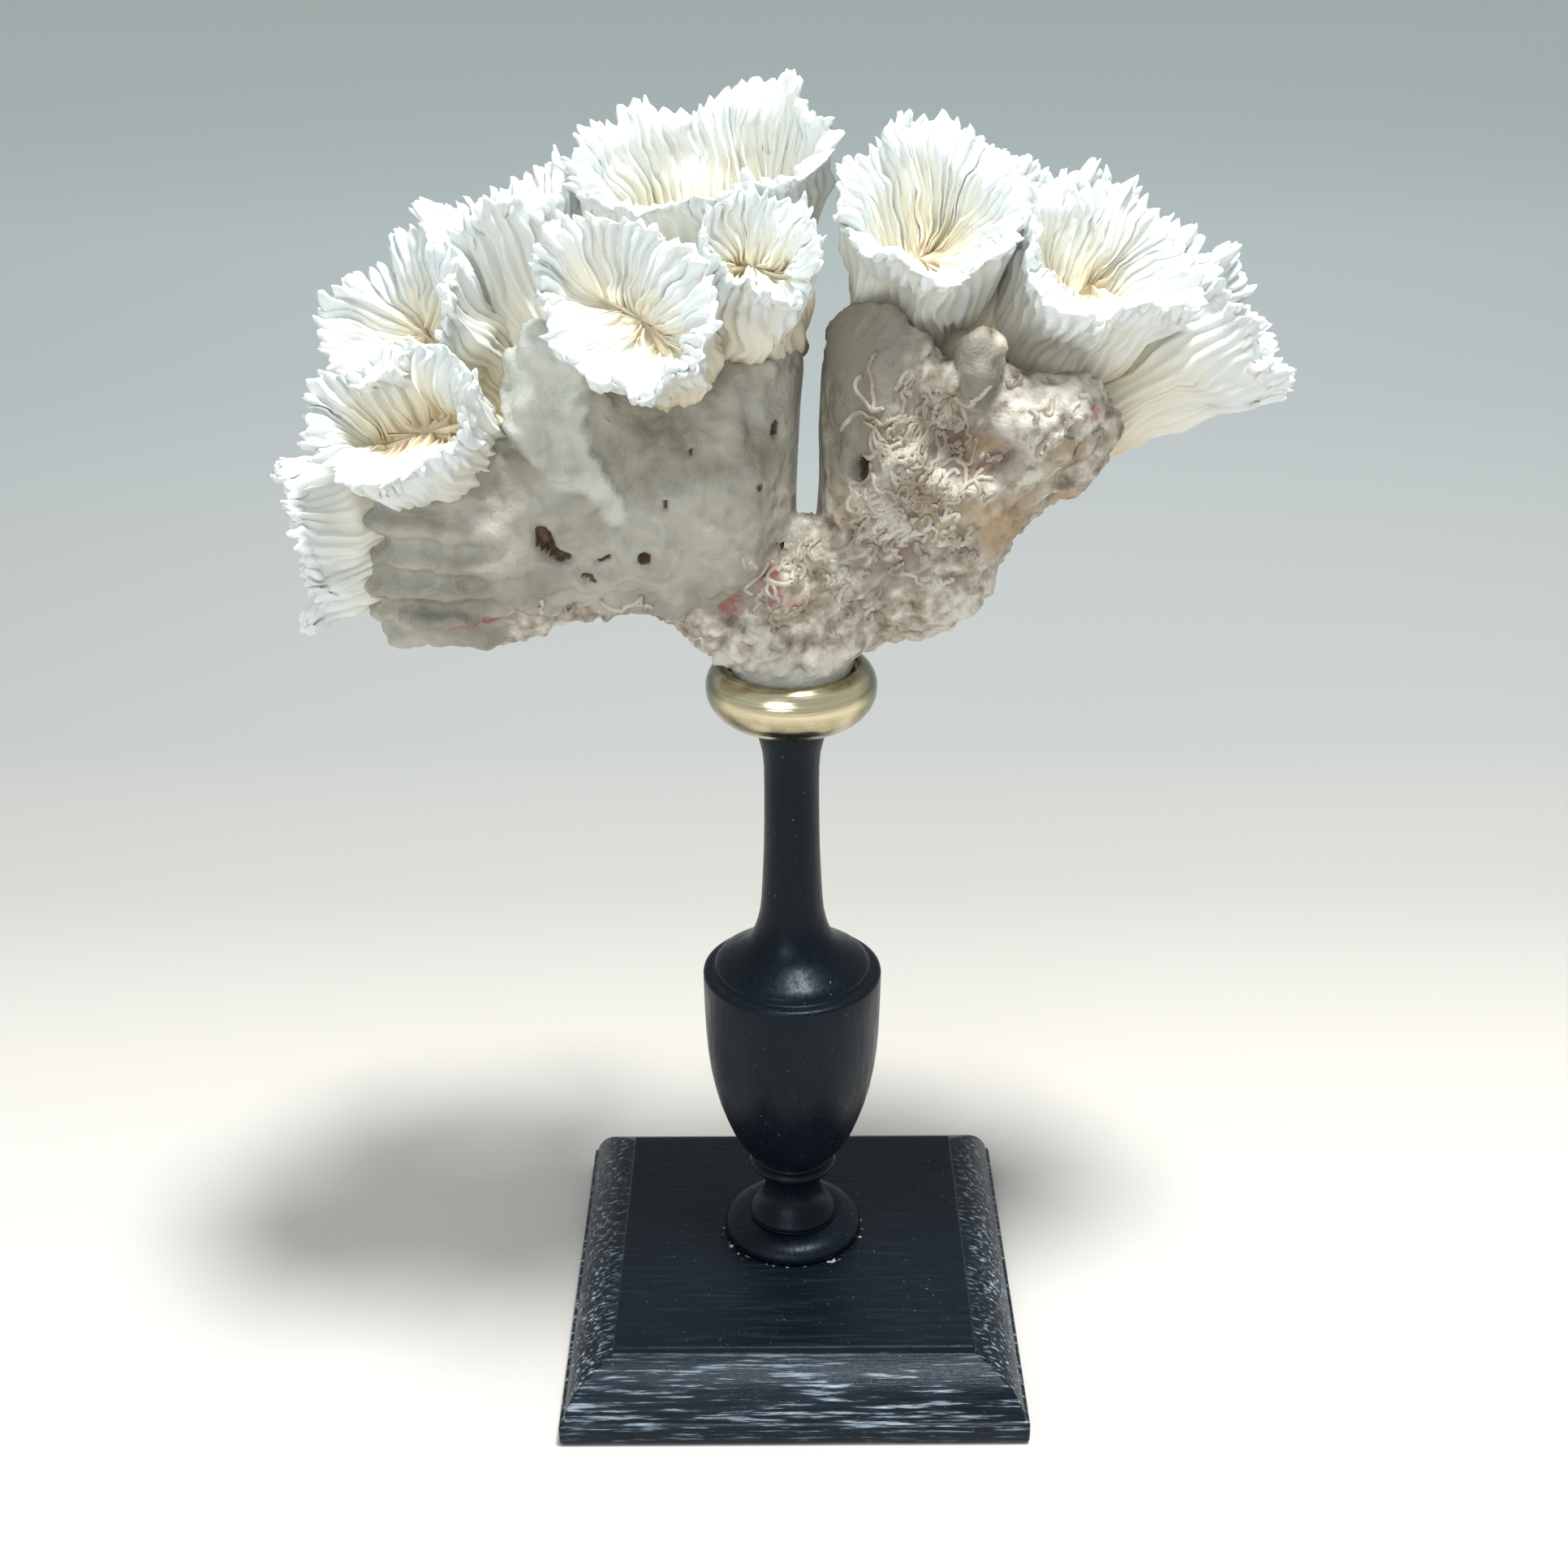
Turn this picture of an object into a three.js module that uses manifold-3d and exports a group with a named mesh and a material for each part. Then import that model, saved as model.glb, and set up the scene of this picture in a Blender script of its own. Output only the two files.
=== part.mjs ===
// A branching stony coral on a turned and blackened wooden stand.
// Millimetres, +Z up. The origin is the centre of the underside of the square base board.
// The stand is a moulded board, a turned column and a brass collar. The coral grows from the collar
// as a short trunk that forks into two boughs, and each bough carries a crown of fluted cups.

import * as THREE from 'three';
import { mergeVertices } from 'three/addons/utils/BufferGeometryUtils.js';
import Module from 'manifold-3d';

const wasm = await Module();
wasm.setup();

// ---- driving dimensions ----

const GAP = 0.3; // clearance that neighbouring pieces of the stand keep
const ROOM = 0.35; // room that one piece of coral leaves round the next

const BOARD_HALF = 47.5; // half the side of the square base board
const PANEL_HALF = 36.4; // half the side of the raised flat panel on it
const PANEL_HEIGHT = 16.1; // top of the panel

const AXIS_Y = 3.5; // the column stands this far behind the middle of the board
const TURNED_SEGMENTS = 24;

const TRUNK_FOOT_RADIUS = 11.9; // the trunk stands in the dish of the collar
const TRUNK_FOOT_HEIGHT = 148.2;
const FORK_RADIUS = 27; // the trunk ends on this radius round the point where it leaves the collar
const FORK_X = 1;
const FORK_Z = 148.6;

const CUP_SEGMENTS = 20; // two to each flute
const FLUTE_DEPTH = 0.055; // share of the radius
const LIP_HEIGHT = 2.4; // how far the plates stand above the middle of the rim
const LOBE_HEIGHT = 1.1; // how far the rim rises and falls
const CUP_FLARE = 1.35; // above 1 the wall opens late, like a trumpet

// ---- materials ----

const blackenedWood = { color: 0x14171c, roughness: 0.5, metalness: 0 };
const polishedBrass = { color: 0xc9a55a, roughness: 0.22, metalness: 1 };
const crustedCoral = { color: 0xc9c2b4, roughness: 0.75, metalness: 0 };
const wormCoral = { color: 0xc2b29c, roughness: 0.85, metalness: 0 };
const whiteCoral = { color: 0xf3efe4, roughness: 0.6, metalness: 0 };

// ---- the stand's profiles: radius or half width, then height ----

const boardProfile = [
  [BOARD_HALF - 0.8, 0],
  [BOARD_HALF, 0.8],
  [BOARD_HALF, 5.1],
  [46.9, 5.7],
  [46.4, 7.0],
  [45.5, 8.5],
  [44.2, 10.4],
  [42.1, 12.3],
  [39.7, 13.7],
  [37.1, 14.6],
  [36.9, 14.9],
  [PANEL_HALF, PANEL_HEIGHT],
];

const columnProfile = [
  [0, PANEL_HEIGHT + GAP],
  [14.4, PANEL_HEIGHT + GAP],
  [14.9, 17.2],
  [14.3, 18.7],
  [12.6, 19.8],
  [10.2, 20.4],
  [9.0, 20.2],
  [9.3, 21.3],
  [8.6, 22.6],
  [6.9, 24.4],
  [6.0, 27.0],
  [5.9, 29.4],
  [6.7, 31.6],
  [8.4, 33.0],
  [9.3, 34.0],
  [8.9, 35.1],
  [8.0, 35.6],
  [10.2, 38.2],
  [13.0, 43.2],
  [15.6, 50.4],
  [17.2, 57.8],
  [18.0, 65.0],
  [18.3, 72.4],
  [18.4, 81.6],
  [16.4, 82.4],
  [15.9, 83.6],
  [12.9, 86.2],
  [9.4, 88.4],
  [7.5, 91.4],
  [6.5, 95.6],
  [6.05, 101.5],
  [5.6, 111.5],
  [5.45, 124],
  [5.7, 130.0],
  [6.4, 133.4],
  [6.9, 137.6],
  [0, 137.6],
];

const collarProfile = [
  [0, 137.9],
  [9.5, 137.9],
  [12.6, 138.9],
  [15.0, 140.8],
  [16.4, 143.0],
  [16.7, 145.1],
  [16.2, 147.5],
  [15.0, 149.3],
  [13.6, 150.1],
  [12.8, 149.7],
  [12.5, 147.9],
  [0, 147.9],
];

// ---- the coral, measured from the column's axis ----

// Sections of a bough lie on circles round the fork point. Each row gives how far out along the bough
// the section is, from 0 to 1, the angles of its two edges above the horizontal, and its front and back.
const leftBoughRows = [
  [0.0, 88, 148, 14, 14],
  [0.16, 88.6, 155, 18, 18],
  [0.36, 88.9, 162.5, 21, 22],
  [0.56, 89.0, 168.5, 22, 24],
  [0.76, 88.9, 173.5, 22, 25],
  [0.92, 88.4, 174, 20, 24],
  [1.0, 90, 171, 16, 19],
];
const rightBoughRows = [
  [0.0, 22, 86, 14, 14],
  [0.18, 23, 84.2, 18, 18],
  [0.36, 30, 84.6, 20, 22],
  [0.56, 37, 85.6, 21, 24],
  [0.78, 36.5, 85.4, 20, 25],
  [0.93, 37, 85.2, 18, 23],
  [1.0, 40, 83, 14, 18],
];

// How far from the fork point each bough reaches, at each angle above the horizontal.
const leftReach = [[80, 61], [90, 62], [103, 60], [112, 61], [119, 65], [125, 75], [132, 73], [139, 71],
  [147, 74], [156, 81], [166, 82], [174, 80], [180, 78]];
const rightReach = [[20, 66], [36, 70], [45, 74], [54, 73], [62, 70], [70, 67], [78, 68], [90, 66]];

// mouth: middle of the rim. axis: the way the cup opens. along: the long way of its oval rim.
// rim: half of the oval's length and width. base: width at the root as a share of the rim.
// depth: how far the mouth goes down.
const cups = [
  { name: 'cup_front_long', mouth: [-27.4, -27, 224], axis: [-0.22, -0.78, 0.58],
    along: [0.62, 0.28, -0.75], rim: [16.8, 12], length: 25, base: 0.66, depth: 5 },
  { name: 'cup_left_low', mouth: [-67.5, -20, 203], axis: [-0.46, -0.68, 0.57],
    along: [0.9, -0.35, 0.2], rim: [17.5, 12], length: 26, base: 0.66, depth: 5 },
  { name: 'cup_front_small', mouth: [-5.4, -19, 232], axis: [0.12, -0.72, 0.68],
    along: [1, 0, 0], rim: [10, 9.5], length: 30, base: 1.12, depth: 6 },
  { name: 'cup_right_front', mouth: [24.2, -6, 236], axis: [0.05, -0.6, 0.8],
    along: [1, 0, 0], rim: [14.8, 16.5], length: 34, base: 0.7, depth: 11 },
  { name: 'cup_right_mid', mouth: [54, -7, 228], axis: [0.3, -0.58, 0.76],
    along: [0.82, 0.1, -0.42], rim: [16.5, 14], length: 32, base: 0.68, depth: 9 },
  { name: 'cup_crown', mouth: [-15.2, 3, 242.8], axis: [-0.12, -0.5, 0.86],
    along: [0.94, -0.05, 0.28], rim: [23.4, 13.5], length: 44, base: 0.42, depth: 14 },
  { name: 'cup_left_tall', mouth: [-50, 8, 233], axis: [-0.24, -0.05, 0.96],
    along: [0.93, 0.1, 0.34], rim: [14.2, 12], length: 41, base: 0.74, depth: 11 },
  { name: 'cup_left_high', mouth: [-69.5, -2, 217.5], axis: [-0.56, -0.5, 0.66],
    along: [-0.6, 0.3, 0.6], rim: [15.5, 14.5], length: 30, base: 0.68, depth: 7.5 },
  { name: 'cup_left_end', mouth: [-88, -3, 176.5], axis: [-0.96, -0.2, -0.12],
    along: [0.12, 0, -1], rim: [14.8, 13.5], length: 26, base: 0.74, depth: 8 },
  { name: 'cup_right_end', mouth: [80.5, 4, 213.5], axis: [0.83, -0.12, 0.52],
    along: [-0.5, 0, 0.85], rim: [13.2, 12.5], length: 38, base: 0.62, depth: 10 },
  { name: 'cup_right_back', mouth: [42.5, 13, 237.2], axis: [0.28, 0.2, 0.93],
    along: [0.9, -0.1, -0.3], rim: [12.5, 11], length: 40, base: 0.7, depth: 10 },
  { name: 'cup_right_rear', mouth: [65, 20, 221.5], axis: [0.45, 0.4, 0.79],
    along: [0.8, -0.5, 0.1], rim: [13, 12], length: 32, base: 0.7, depth: 10 },
  { name: 'cup_right_heel', mouth: [30, 32, 219], axis: [0.08, 0.78, 0.62],
    along: [1, 0, 0], rim: [13, 11.5], length: 30, base: 0.65, depth: 9 },
  { name: 'cup_left_rear', mouth: [-17, 32, 223], axis: [-0.02, 0.78, 0.62],
    along: [1, 0, 0], rim: [14, 11.5], length: 30, base: 0.65, depth: 9 },
  { name: 'cup_left_heel', mouth: [-58, 30, 207], axis: [-0.42, 0.74, 0.52],
    along: [0.8, 0.5, 0.2], rim: [14, 12], length: 30, base: 0.65, depth: 9 },
];

// ---- helpers ----

function meshFrom(name, geometry, finish) {
  const mesh = new THREE.Mesh(geometry, new THREE.MeshStandardMaterial({ ...finish, flatShading: true }));
  mesh.name = name;
  return mesh;
}

// Joins rings of equal length into a closed skin. The first and the last are closed by a fan to their middle.
// With grow the skin is pushed outward by that much, which is the room that a neighbour leaves free.
function loftRings(rings, grow = 0) {
  const count = rings[0].length;
  const points = rings.flat();
  const faces = [];
  for (let row = 0; row + 1 < rings.length; row += 1) {
    for (let i = 0; i < count; i += 1) {
      const j = (i + 1) % count;
      const a = row * count + i;
      const b = row * count + j;
      faces.push(a, b, b + count, a, b + count, a + count);
    }
  }
  for (const [ring, flip] of [[0, true], [rings.length - 1, false]]) {
    const middle = new THREE.Vector3();
    for (const p of rings[ring]) middle.add(p);
    const hub = points.push(middle.divideScalar(count)) - 1;
    for (let i = 0; i < count; i += 1) {
      const a = ring * count + i;
      const b = ring * count + ((i + 1) % count);
      if (flip) faces.push(hub, b, a);
      else faces.push(hub, a, b);
    }
  }
  return solidFrom(points, faces, grow);
}

// A solid from points and faces, turned the right way out and then grown.
function solidFrom(points, faces, grow) {
  let volume = 0;
  for (let i = 0; i < faces.length; i += 3) {
    const [a, b, c] = faces.slice(i, i + 3).map((k) => points[k]);
    volume += a.dot(new THREE.Vector3().crossVectors(b, c));
  }
  if (volume < 0) faces.reverse();
  const skin = grow === 0 ? points : grownPoints(points, faces, grow);
  return new wasm.Manifold(new wasm.Mesh({
    numProp: 3,
    vertProperties: new Float32Array(skin.flatMap((p) => [p.x, p.y, p.z])),
    triVerts: new Uint32Array(faces),
  }));
}

// Every point moved outward so far that each face round it moves by at least the given distance.
function grownPoints(points, faces, grow) {
  const around = points.map(() => []);
  const outward = points.map(() => new THREE.Vector3());
  for (let i = 0; i < faces.length; i += 3) {
    const corners = faces.slice(i, i + 3);
    const [a, b, c] = corners.map((k) => points[k]);
    const normal = b.clone().sub(a).cross(c.clone().sub(a)).normalize();
    corners.forEach((k, n) => {
      const ahead = points[corners[(n + 1) % 3]].clone().sub(points[k]);
      const behind = points[corners[(n + 2) % 3]].clone().sub(points[k]);
      outward[k].addScaledVector(normal, ahead.angleTo(behind));
      around[k].push(normal);
    });
  }
  return points.map((p, k) => {
    const way = outward[k].normalize();
    const least = Math.min(...around[k].map((normal) => normal.dot(way)));
    return p.clone().addScaledVector(way, grow / Math.max(least, 0.35));
  });
}

function geometryFrom(solid) {
  const { vertProperties, triVerts } = solid.getMesh();
  const geometry = new THREE.BufferGeometry();
  geometry.setAttribute('position', new THREE.BufferAttribute(new Float32Array(vertProperties), 3));
  geometry.setIndex(new THREE.BufferAttribute(new Uint32Array(triVerts), 1));
  return geometry;
}

// The biggest of the separate lumps that a cut leaves.
function biggestLump(solid) {
  const lumps = solid.decompose();
  lumps.sort((a, b) => b.volume() - a.volume());
  return lumps[0];
}

function interpolate(table, at) {
  for (let i = 0; i + 1 < table.length; i += 1) {
    const [a, valueA] = table[i];
    const [b, valueB] = table[i + 1];
    if (at <= b || i + 2 === table.length) {
      const share = THREE.MathUtils.clamp((at - a) / (b - a), 0, 1);
      return valueA + (valueB - valueA) * share;
    }
  }
  return table[0][1];
}

function ripple(x, y, z) {
  return Math.sin(0.31 * x + 1.7) * Math.cos(0.27 * z + 0.4) + 0.6 * Math.sin(0.43 * z - 0.23 * x + 0.5 * y);
}

// ---- the stand ----

function turned(profile) {
  const outline = profile.map(([r, z]) => new THREE.Vector2(r, z));
  const lathe = new THREE.LatheGeometry(outline, TURNED_SEGMENTS);
  lathe.rotateX(Math.PI / 2);
  lathe.deleteAttribute('normal');
  lathe.deleteAttribute('uv');
  return mergeVertices(lathe, 1e-4);
}

function boardSolid() {
  const rings = boardProfile.map(([half, z]) => [
    new THREE.Vector3(-half, -half, z),
    new THREE.Vector3(half, -half, z),
    new THREE.Vector3(half, half, z),
    new THREE.Vector3(-half, half, z),
  ]);
  return loftRings(rings);
}

// ---- the coral ----

// A point of the fan that the boughs make: an angle above the horizontal and a distance from the fork.
function fanPoint(degrees, distance, y) {
  const angle = THREE.MathUtils.degToRad(degrees);
  return new THREE.Vector3(FORK_X + distance * Math.cos(angle), y, FORK_Z + distance * Math.sin(angle));
}

function roundedOval(phi, power) {
  const c = Math.cos(phi);
  const s = Math.sin(phi);
  return [Math.sign(c) * Math.abs(c) ** power, Math.sign(s) * Math.abs(s) ** power];
}

function trunkSolid(grow = 0) {
  const count = 24;
  const rows = [0, 0.05, 0.3, 0.55, 0.8, 1];
  const rings = rows.map((v) => {
    const ring = [];
    for (let i = 0; i < count; i += 1) {
      const phi = (2 * Math.PI * i) / count;
      const [c, s] = roundedOval(phi, 0.8);
      const foot = new THREE.Vector3(
        Math.cos(phi) * TRUNK_FOOT_RADIUS,
        Math.sin(phi) * TRUNK_FOOT_RADIUS,
        v === 0 ? TRUNK_FOOT_HEIGHT : TRUNK_FOOT_HEIGHT + 2.8,
      );
      const crown = fanPoint(88 - c * 67, FORK_RADIUS, s * 14.5);
      const point = foot.lerp(crown, v);
      const swell = v > 0.1 && v < 1 ? 1.2 + 0.5 * ripple(point.x, point.y, point.z) : 0;
      point.y += s * swell;
      point.x += c * swell * 1.4;
      ring.push(point);
    }
    return ring;
  });
  return loftRings(rings, grow);
}

function boughSolid(rows, reach, grow = 0) {
  const count = 26;
  const start = FORK_RADIUS - 6;
  const rings = rows.map(([share, low, high, front, back]) => {
    const ring = [];
    const middle = (low + high) / 2;
    const half = (high - low) / 2;
    for (let i = 0; i < count; i += 1) {
      const phi = (2 * Math.PI * i) / count;
      const [c, s] = roundedOval(phi, 0.72);
      const degrees = middle + half * c;
      const distance = start + share * (interpolate(reach, degrees) - start);
      const depth = s < 0 ? front : back;
      const point = fanPoint(degrees, distance, s * depth);
      point.y += s * 0.7 * ripple(point.x, point.y, point.z);
      ring.push(point);
    }
    return ring;
  });
  return loftRings(rings, grow);
}

function cupSolid(cup, grow = 0) {
  const axis = new THREE.Vector3(...cup.axis).normalize();
  const along = new THREE.Vector3(...cup.along);
  along.addScaledVector(axis, -along.dot(axis)).normalize();
  const across = new THREE.Vector3().crossVectors(axis, along);
  const mouth = new THREE.Vector3(...cup.mouth);
  const ringAt = (scale, height, fluting) => {
    const ring = [];
    for (let i = 0; i < CUP_SEGMENTS; i += 1) {
      const phi = (2 * Math.PI * i) / CUP_SEGMENTS;
      const flute = 1 + fluting * FLUTE_DEPTH * (i % 2 === 0 ? 1 : -1);
      const lobe = fluting * (LIP_HEIGHT + LOBE_HEIGHT * Math.sin(3.1 * i + cup.mouth[0]));
      const reach = scale * flute;
      ring.push(mouth.clone()
        .addScaledVector(along, cup.rim[0] * reach * Math.cos(phi))
        .addScaledVector(across, cup.rim[1] * reach * Math.sin(phi))
        .addScaledVector(axis, height + lobe));
    }
    return ring;
  };
  const rings = [0, 0.35, 0.7, 1].map((t) => (
    ringAt(cup.base + (1 - cup.base) * t ** CUP_FLARE, (t - 1) * cup.length, t)));
  rings.push(ringAt(0.84, -1, 1));
  rings.push(ringAt(0.3, -cup.depth, 0));
  return loftRings(rings, grow);
}

// ---- assembly ----

const stand = new THREE.Group();
stand.add(meshFrom('base_board', geometryFrom(boardSolid()), blackenedWood));

const onAxis = new THREE.Group();
onAxis.position.y = AXIS_Y;
onAxis.add(meshFrom('turned_column', turned(columnProfile), blackenedWood));
onAxis.add(meshFrom('brass_collar', turned(collarProfile), polishedBrass));

const trunkRoom = trunkSolid(ROOM);
const leftRoom = boughSolid(leftBoughRows, leftReach, ROOM);
const rightRoom = boughSolid(rightBoughRows, rightReach, ROOM);
const leftBough = biggestLump(boughSolid(leftBoughRows, leftReach).subtract(trunkRoom));
const rightBough = biggestLump(boughSolid(rightBoughRows, rightReach).subtract(trunkRoom).subtract(leftRoom));
onAxis.add(meshFrom('coral_trunk', geometryFrom(trunkSolid()), crustedCoral));
onAxis.add(meshFrom('coral_left_bough', geometryFrom(leftBough), crustedCoral));
onAxis.add(meshFrom('coral_right_bough', geometryFrom(rightBough), wormCoral));

// Each cup gives way to the boughs and to the cups before it in the list.
const taken = [leftRoom, rightRoom];
for (const cup of cups) {
  let solid = cupSolid(cup);
  for (const room of taken) solid = solid.subtract(room);
  onAxis.add(meshFrom(cup.name, geometryFrom(biggestLump(solid)), whiteCoral));
  taken.push(cupSolid(cup, ROOM));
}

const branchingCoral = new THREE.Group();
branchingCoral.add(stand, onAxis);

export default branchingCoral;
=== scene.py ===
# %% [markdown]
# # A branching coral on a turned stand
# A bleached stony coral stands on a small black wooden stand, held in a polished brass collar. The coral is
# one colony: a short trunk forks into two crusted boughs, and every branch tip opens into a cup full of thin
# limy plates called septa. The frame gives the place of each piece. This script gives each piece its fine
# surface and its finish.

import math
import random

import bmesh
import bpy
from mathutils import Matrix, Vector, noise
from mathutils.bvhtree import BVHTree


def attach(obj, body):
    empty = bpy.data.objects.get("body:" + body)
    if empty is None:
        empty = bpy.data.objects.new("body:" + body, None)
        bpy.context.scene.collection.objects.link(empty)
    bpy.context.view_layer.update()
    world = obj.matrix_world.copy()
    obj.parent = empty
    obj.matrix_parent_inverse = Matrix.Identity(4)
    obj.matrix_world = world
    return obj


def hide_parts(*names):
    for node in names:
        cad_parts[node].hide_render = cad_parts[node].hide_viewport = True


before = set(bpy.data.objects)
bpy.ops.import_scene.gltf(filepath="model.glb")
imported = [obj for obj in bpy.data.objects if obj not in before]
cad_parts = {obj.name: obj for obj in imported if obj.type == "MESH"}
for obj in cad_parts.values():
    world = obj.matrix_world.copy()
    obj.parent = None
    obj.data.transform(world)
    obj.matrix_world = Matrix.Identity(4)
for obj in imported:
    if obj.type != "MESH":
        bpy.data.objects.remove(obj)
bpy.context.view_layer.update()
MM = 0.001
# The turned parts stand a little behind the middle of the board (mm).
AXIS = Vector((0, 3.5, 0))
print("frame nodes:", len(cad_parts))

# %% [markdown]
# ## The camera
# The stand is seen from a little above, so that the top of the board shows and the column stands upright in
# the middle of the view. A lens of normal length keeps the sides of the board gently converging.

# %% Camera
CAMERA_PLACE = (-0.00152, -0.36982, 0.30303)
CAMERA_TILT = math.radians(64.36)
CAMERA_ROLL = math.radians(-0.264)
camera = bpy.data.objects.new("camera", bpy.data.cameras.new("camera"))
bpy.context.scene.collection.objects.link(camera)
camera.data.lens = 47.93
camera.data.sensor_width = 36
camera.data.sensor_fit = "HORIZONTAL"
camera.data.clip_start = 0.01
camera.data.clip_end = 50
turn = Matrix.Rotation(CAMERA_TILT, 4, "X") @ Matrix.Rotation(CAMERA_ROLL, 4, "Z")
camera.matrix_world = Matrix.Translation(CAMERA_PLACE) @ turn
bpy.context.scene.camera = camera
print("camera height:", round(camera.location.z, 4))

# %% [markdown]
# ## Small helpers
# Every piece is made as a list of points and faces in millimetres, so one function turns such lists into a
# mesh object in metres. Its faces are turned outwards, because a loft can come out inside out. Another
# function lofts rings of points into a closed skin, and a third bakes live modifiers into a plain mesh.


# %% Mesh helpers
def add_object(name, data):
    item = bpy.data.objects.new(name, data)
    bpy.context.scene.collection.objects.link(item)
    return item


def face_outwards(mesh, merge=False):
    work = bmesh.new()
    work.from_mesh(mesh)
    if merge:
        bmesh.ops.remove_doubles(work, verts=work.verts, dist=1e-7)
    bmesh.ops.recalc_face_normals(work, faces=work.faces)
    work.to_mesh(mesh)
    work.free()


def mesh_object(name, points, faces, material=None, merge=True):
    mesh = bpy.data.meshes.new(name)
    mesh.from_pydata([Vector(p) * MM for p in points], [], faces)
    face_outwards(mesh, merge)
    mesh.shade_smooth()
    if material:
        mesh.materials.append(material)
    return add_object(name, mesh)


def loft(rings, close_start=True, close_end=True):
    count = len(rings[0])
    points = [Vector(p) for ring in rings for p in ring]
    faces = []
    for row in range(len(rings) - 1):
        for i in range(count):
            j = (i + 1) % count
            faces.append((row * count + i, row * count + j, (row + 1) * count + j, (row + 1) * count + i))
    for wanted, row in ((close_start, 0), (close_end, len(rings) - 1)):
        if wanted:
            hub = len(points)
            points.append(sum((Vector(p) for p in rings[row]), Vector()) / count)
            for i in range(count):
                faces.append((hub, row * count + i, row * count + (i + 1) % count))
    return points, faces


def modified_copy(item):
    """Swap an object's mesh for the one that its modifiers give, and drop the modifiers."""
    bpy.context.view_layer.update()
    shown = item.evaluated_get(bpy.context.evaluated_depsgraph_get())
    mesh = bpy.data.meshes.new_from_object(shown)
    old = item.data
    item.modifiers.clear()
    item.data = mesh
    bpy.data.meshes.remove(old)
    mesh.name = item.name
    return item


print("helpers ready")

# %% [markdown]
# ## Building blocks for node trees
# A material is a small network of nodes, and so is a Geometry Nodes tree. These helpers add a node, set its
# plain values and link the rest, so that each finish below reads as a short recipe.


# %% Node helpers
def feed(tree, socket, value):
    """Link a socket to another node's output, or set its plain value."""
    if isinstance(value, bpy.types.NodeSocket):
        tree.links.new(value, socket)
    elif socket.type == "RGBA" and len(value) == 3:
        socket.default_value = (*value, 1)
    else:
        socket.default_value = value


def add_node(tree, kind, inputs=None, **settings):
    node = tree.nodes.new(kind)
    for key, value in settings.items():
        setattr(node, key, value)
    for key, value in (inputs or {}).items():
        feed(tree, node.inputs[key], value)
    return node


def new_tree(name, kind, inputs, outputs):
    """A node tree with named inputs and outputs, and the sockets at its two ends."""
    tree = bpy.data.node_groups.new(name, kind)
    for label, socket_type, value in inputs:
        socket = tree.interface.new_socket(label, in_out="INPUT", socket_type="NodeSocket" + socket_type)
        if value is not None:
            socket.default_value = value
    for label, socket_type in outputs:
        tree.interface.new_socket(label, in_out="OUTPUT", socket_type="NodeSocket" + socket_type)
    return tree, add_node(tree, "NodeGroupInput").outputs, add_node(tree, "NodeGroupOutput").inputs


def new_material(name, **values):
    """A material, its tree and its shader; constants are set on the shader's own sockets."""
    material = bpy.data.materials.new(name)
    material.use_nodes = True
    shader = material.node_tree.nodes["Principled BSDF"]
    for key, value in values.items():
        feed(material.node_tree, shader.inputs[key.replace("_", " ")], value)
    return material, material.node_tree, shader


print("node helpers ready")


# %% Pattern helpers
def ramp(tree, factor, stops):
    """A colour ramp: each stop is a position with a colour, or with one number for a grey."""
    node = add_node(tree, "ShaderNodeValToRGB", {"Fac": factor})
    elements = node.color_ramp.elements
    while len(elements) < len(stops):
        elements.new(0.5)
    for element, (position, colour) in zip(elements, stops):
        element.position = position
        element.color = (*colour, 1) if isinstance(colour, tuple) else (colour, colour, colour, 1)
    return node.outputs["Color"]


def mix_colour(tree, factor, under, over):
    return add_node(tree, "ShaderNodeMix", {0: factor, 6: under, 7: over}, data_type="RGBA").outputs[2]


def maths(tree, operation, *values):
    return add_node(tree, "ShaderNodeMath", dict(enumerate(values)), operation=operation).outputs[0]


def object_coordinates(tree, scale=(1, 1, 1)):
    source = add_node(tree, "ShaderNodeTexCoord").outputs["Object"]
    return add_node(tree, "ShaderNodeMapping", {"Vector": source, "Scale": scale}).outputs["Vector"]


def noise_value(tree, vector, scale, detail=4.0, roughness=0.55):
    return add_node(tree, "ShaderNodeTexNoise", {"Vector": vector, "Scale": scale, "Detail": detail,
                                                 "Roughness": roughness}).outputs["Fac"]


def point_value(tree, name):
    """A number that is stored on the points of the mesh."""
    return add_node(tree, "ShaderNodeAttribute", attribute_name=name, attribute_type="GEOMETRY").outputs["Fac"]


def colour_and_bump(tree, shader, colour, height, strength, distance):
    feed(tree, shader.inputs["Base Color"], colour)
    bump = add_node(tree, "ShaderNodeBump", {"Height": height, "Strength": strength, "Distance": distance})
    feed(tree, shader.inputs["Normal"], bump.outputs["Normal"])


print("pattern helpers ready")

# %% [markdown]
# ## Shared effects
# Limy surfaces of different ages all carry fine grain and soft stains, so the grain is one node group that
# each coral finish uses with its own sizes. It puts out a mask for the stains and a height for the bump.

# %% Limy grain group
limy_grain, group_in, group_out = new_tree(
    "limy grain", "ShaderNodeTree",
    [("Vector", "Vector", None), ("Grain Scale", "Float", 900.0), ("Stain Scale", "Float", 60.0)],
    [("Stain", "Float"), ("Height", "Float")])
fine = noise_value(limy_grain, group_in["Vector"], group_in["Grain Scale"])
soft = noise_value(limy_grain, group_in["Vector"], group_in["Stain Scale"], detail=3.0)
feed(limy_grain, group_out["Stain"], soft)
feed(limy_grain, group_out["Height"], maths(limy_grain, "MULTIPLY_ADD", fine, 0.5, soft))


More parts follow.
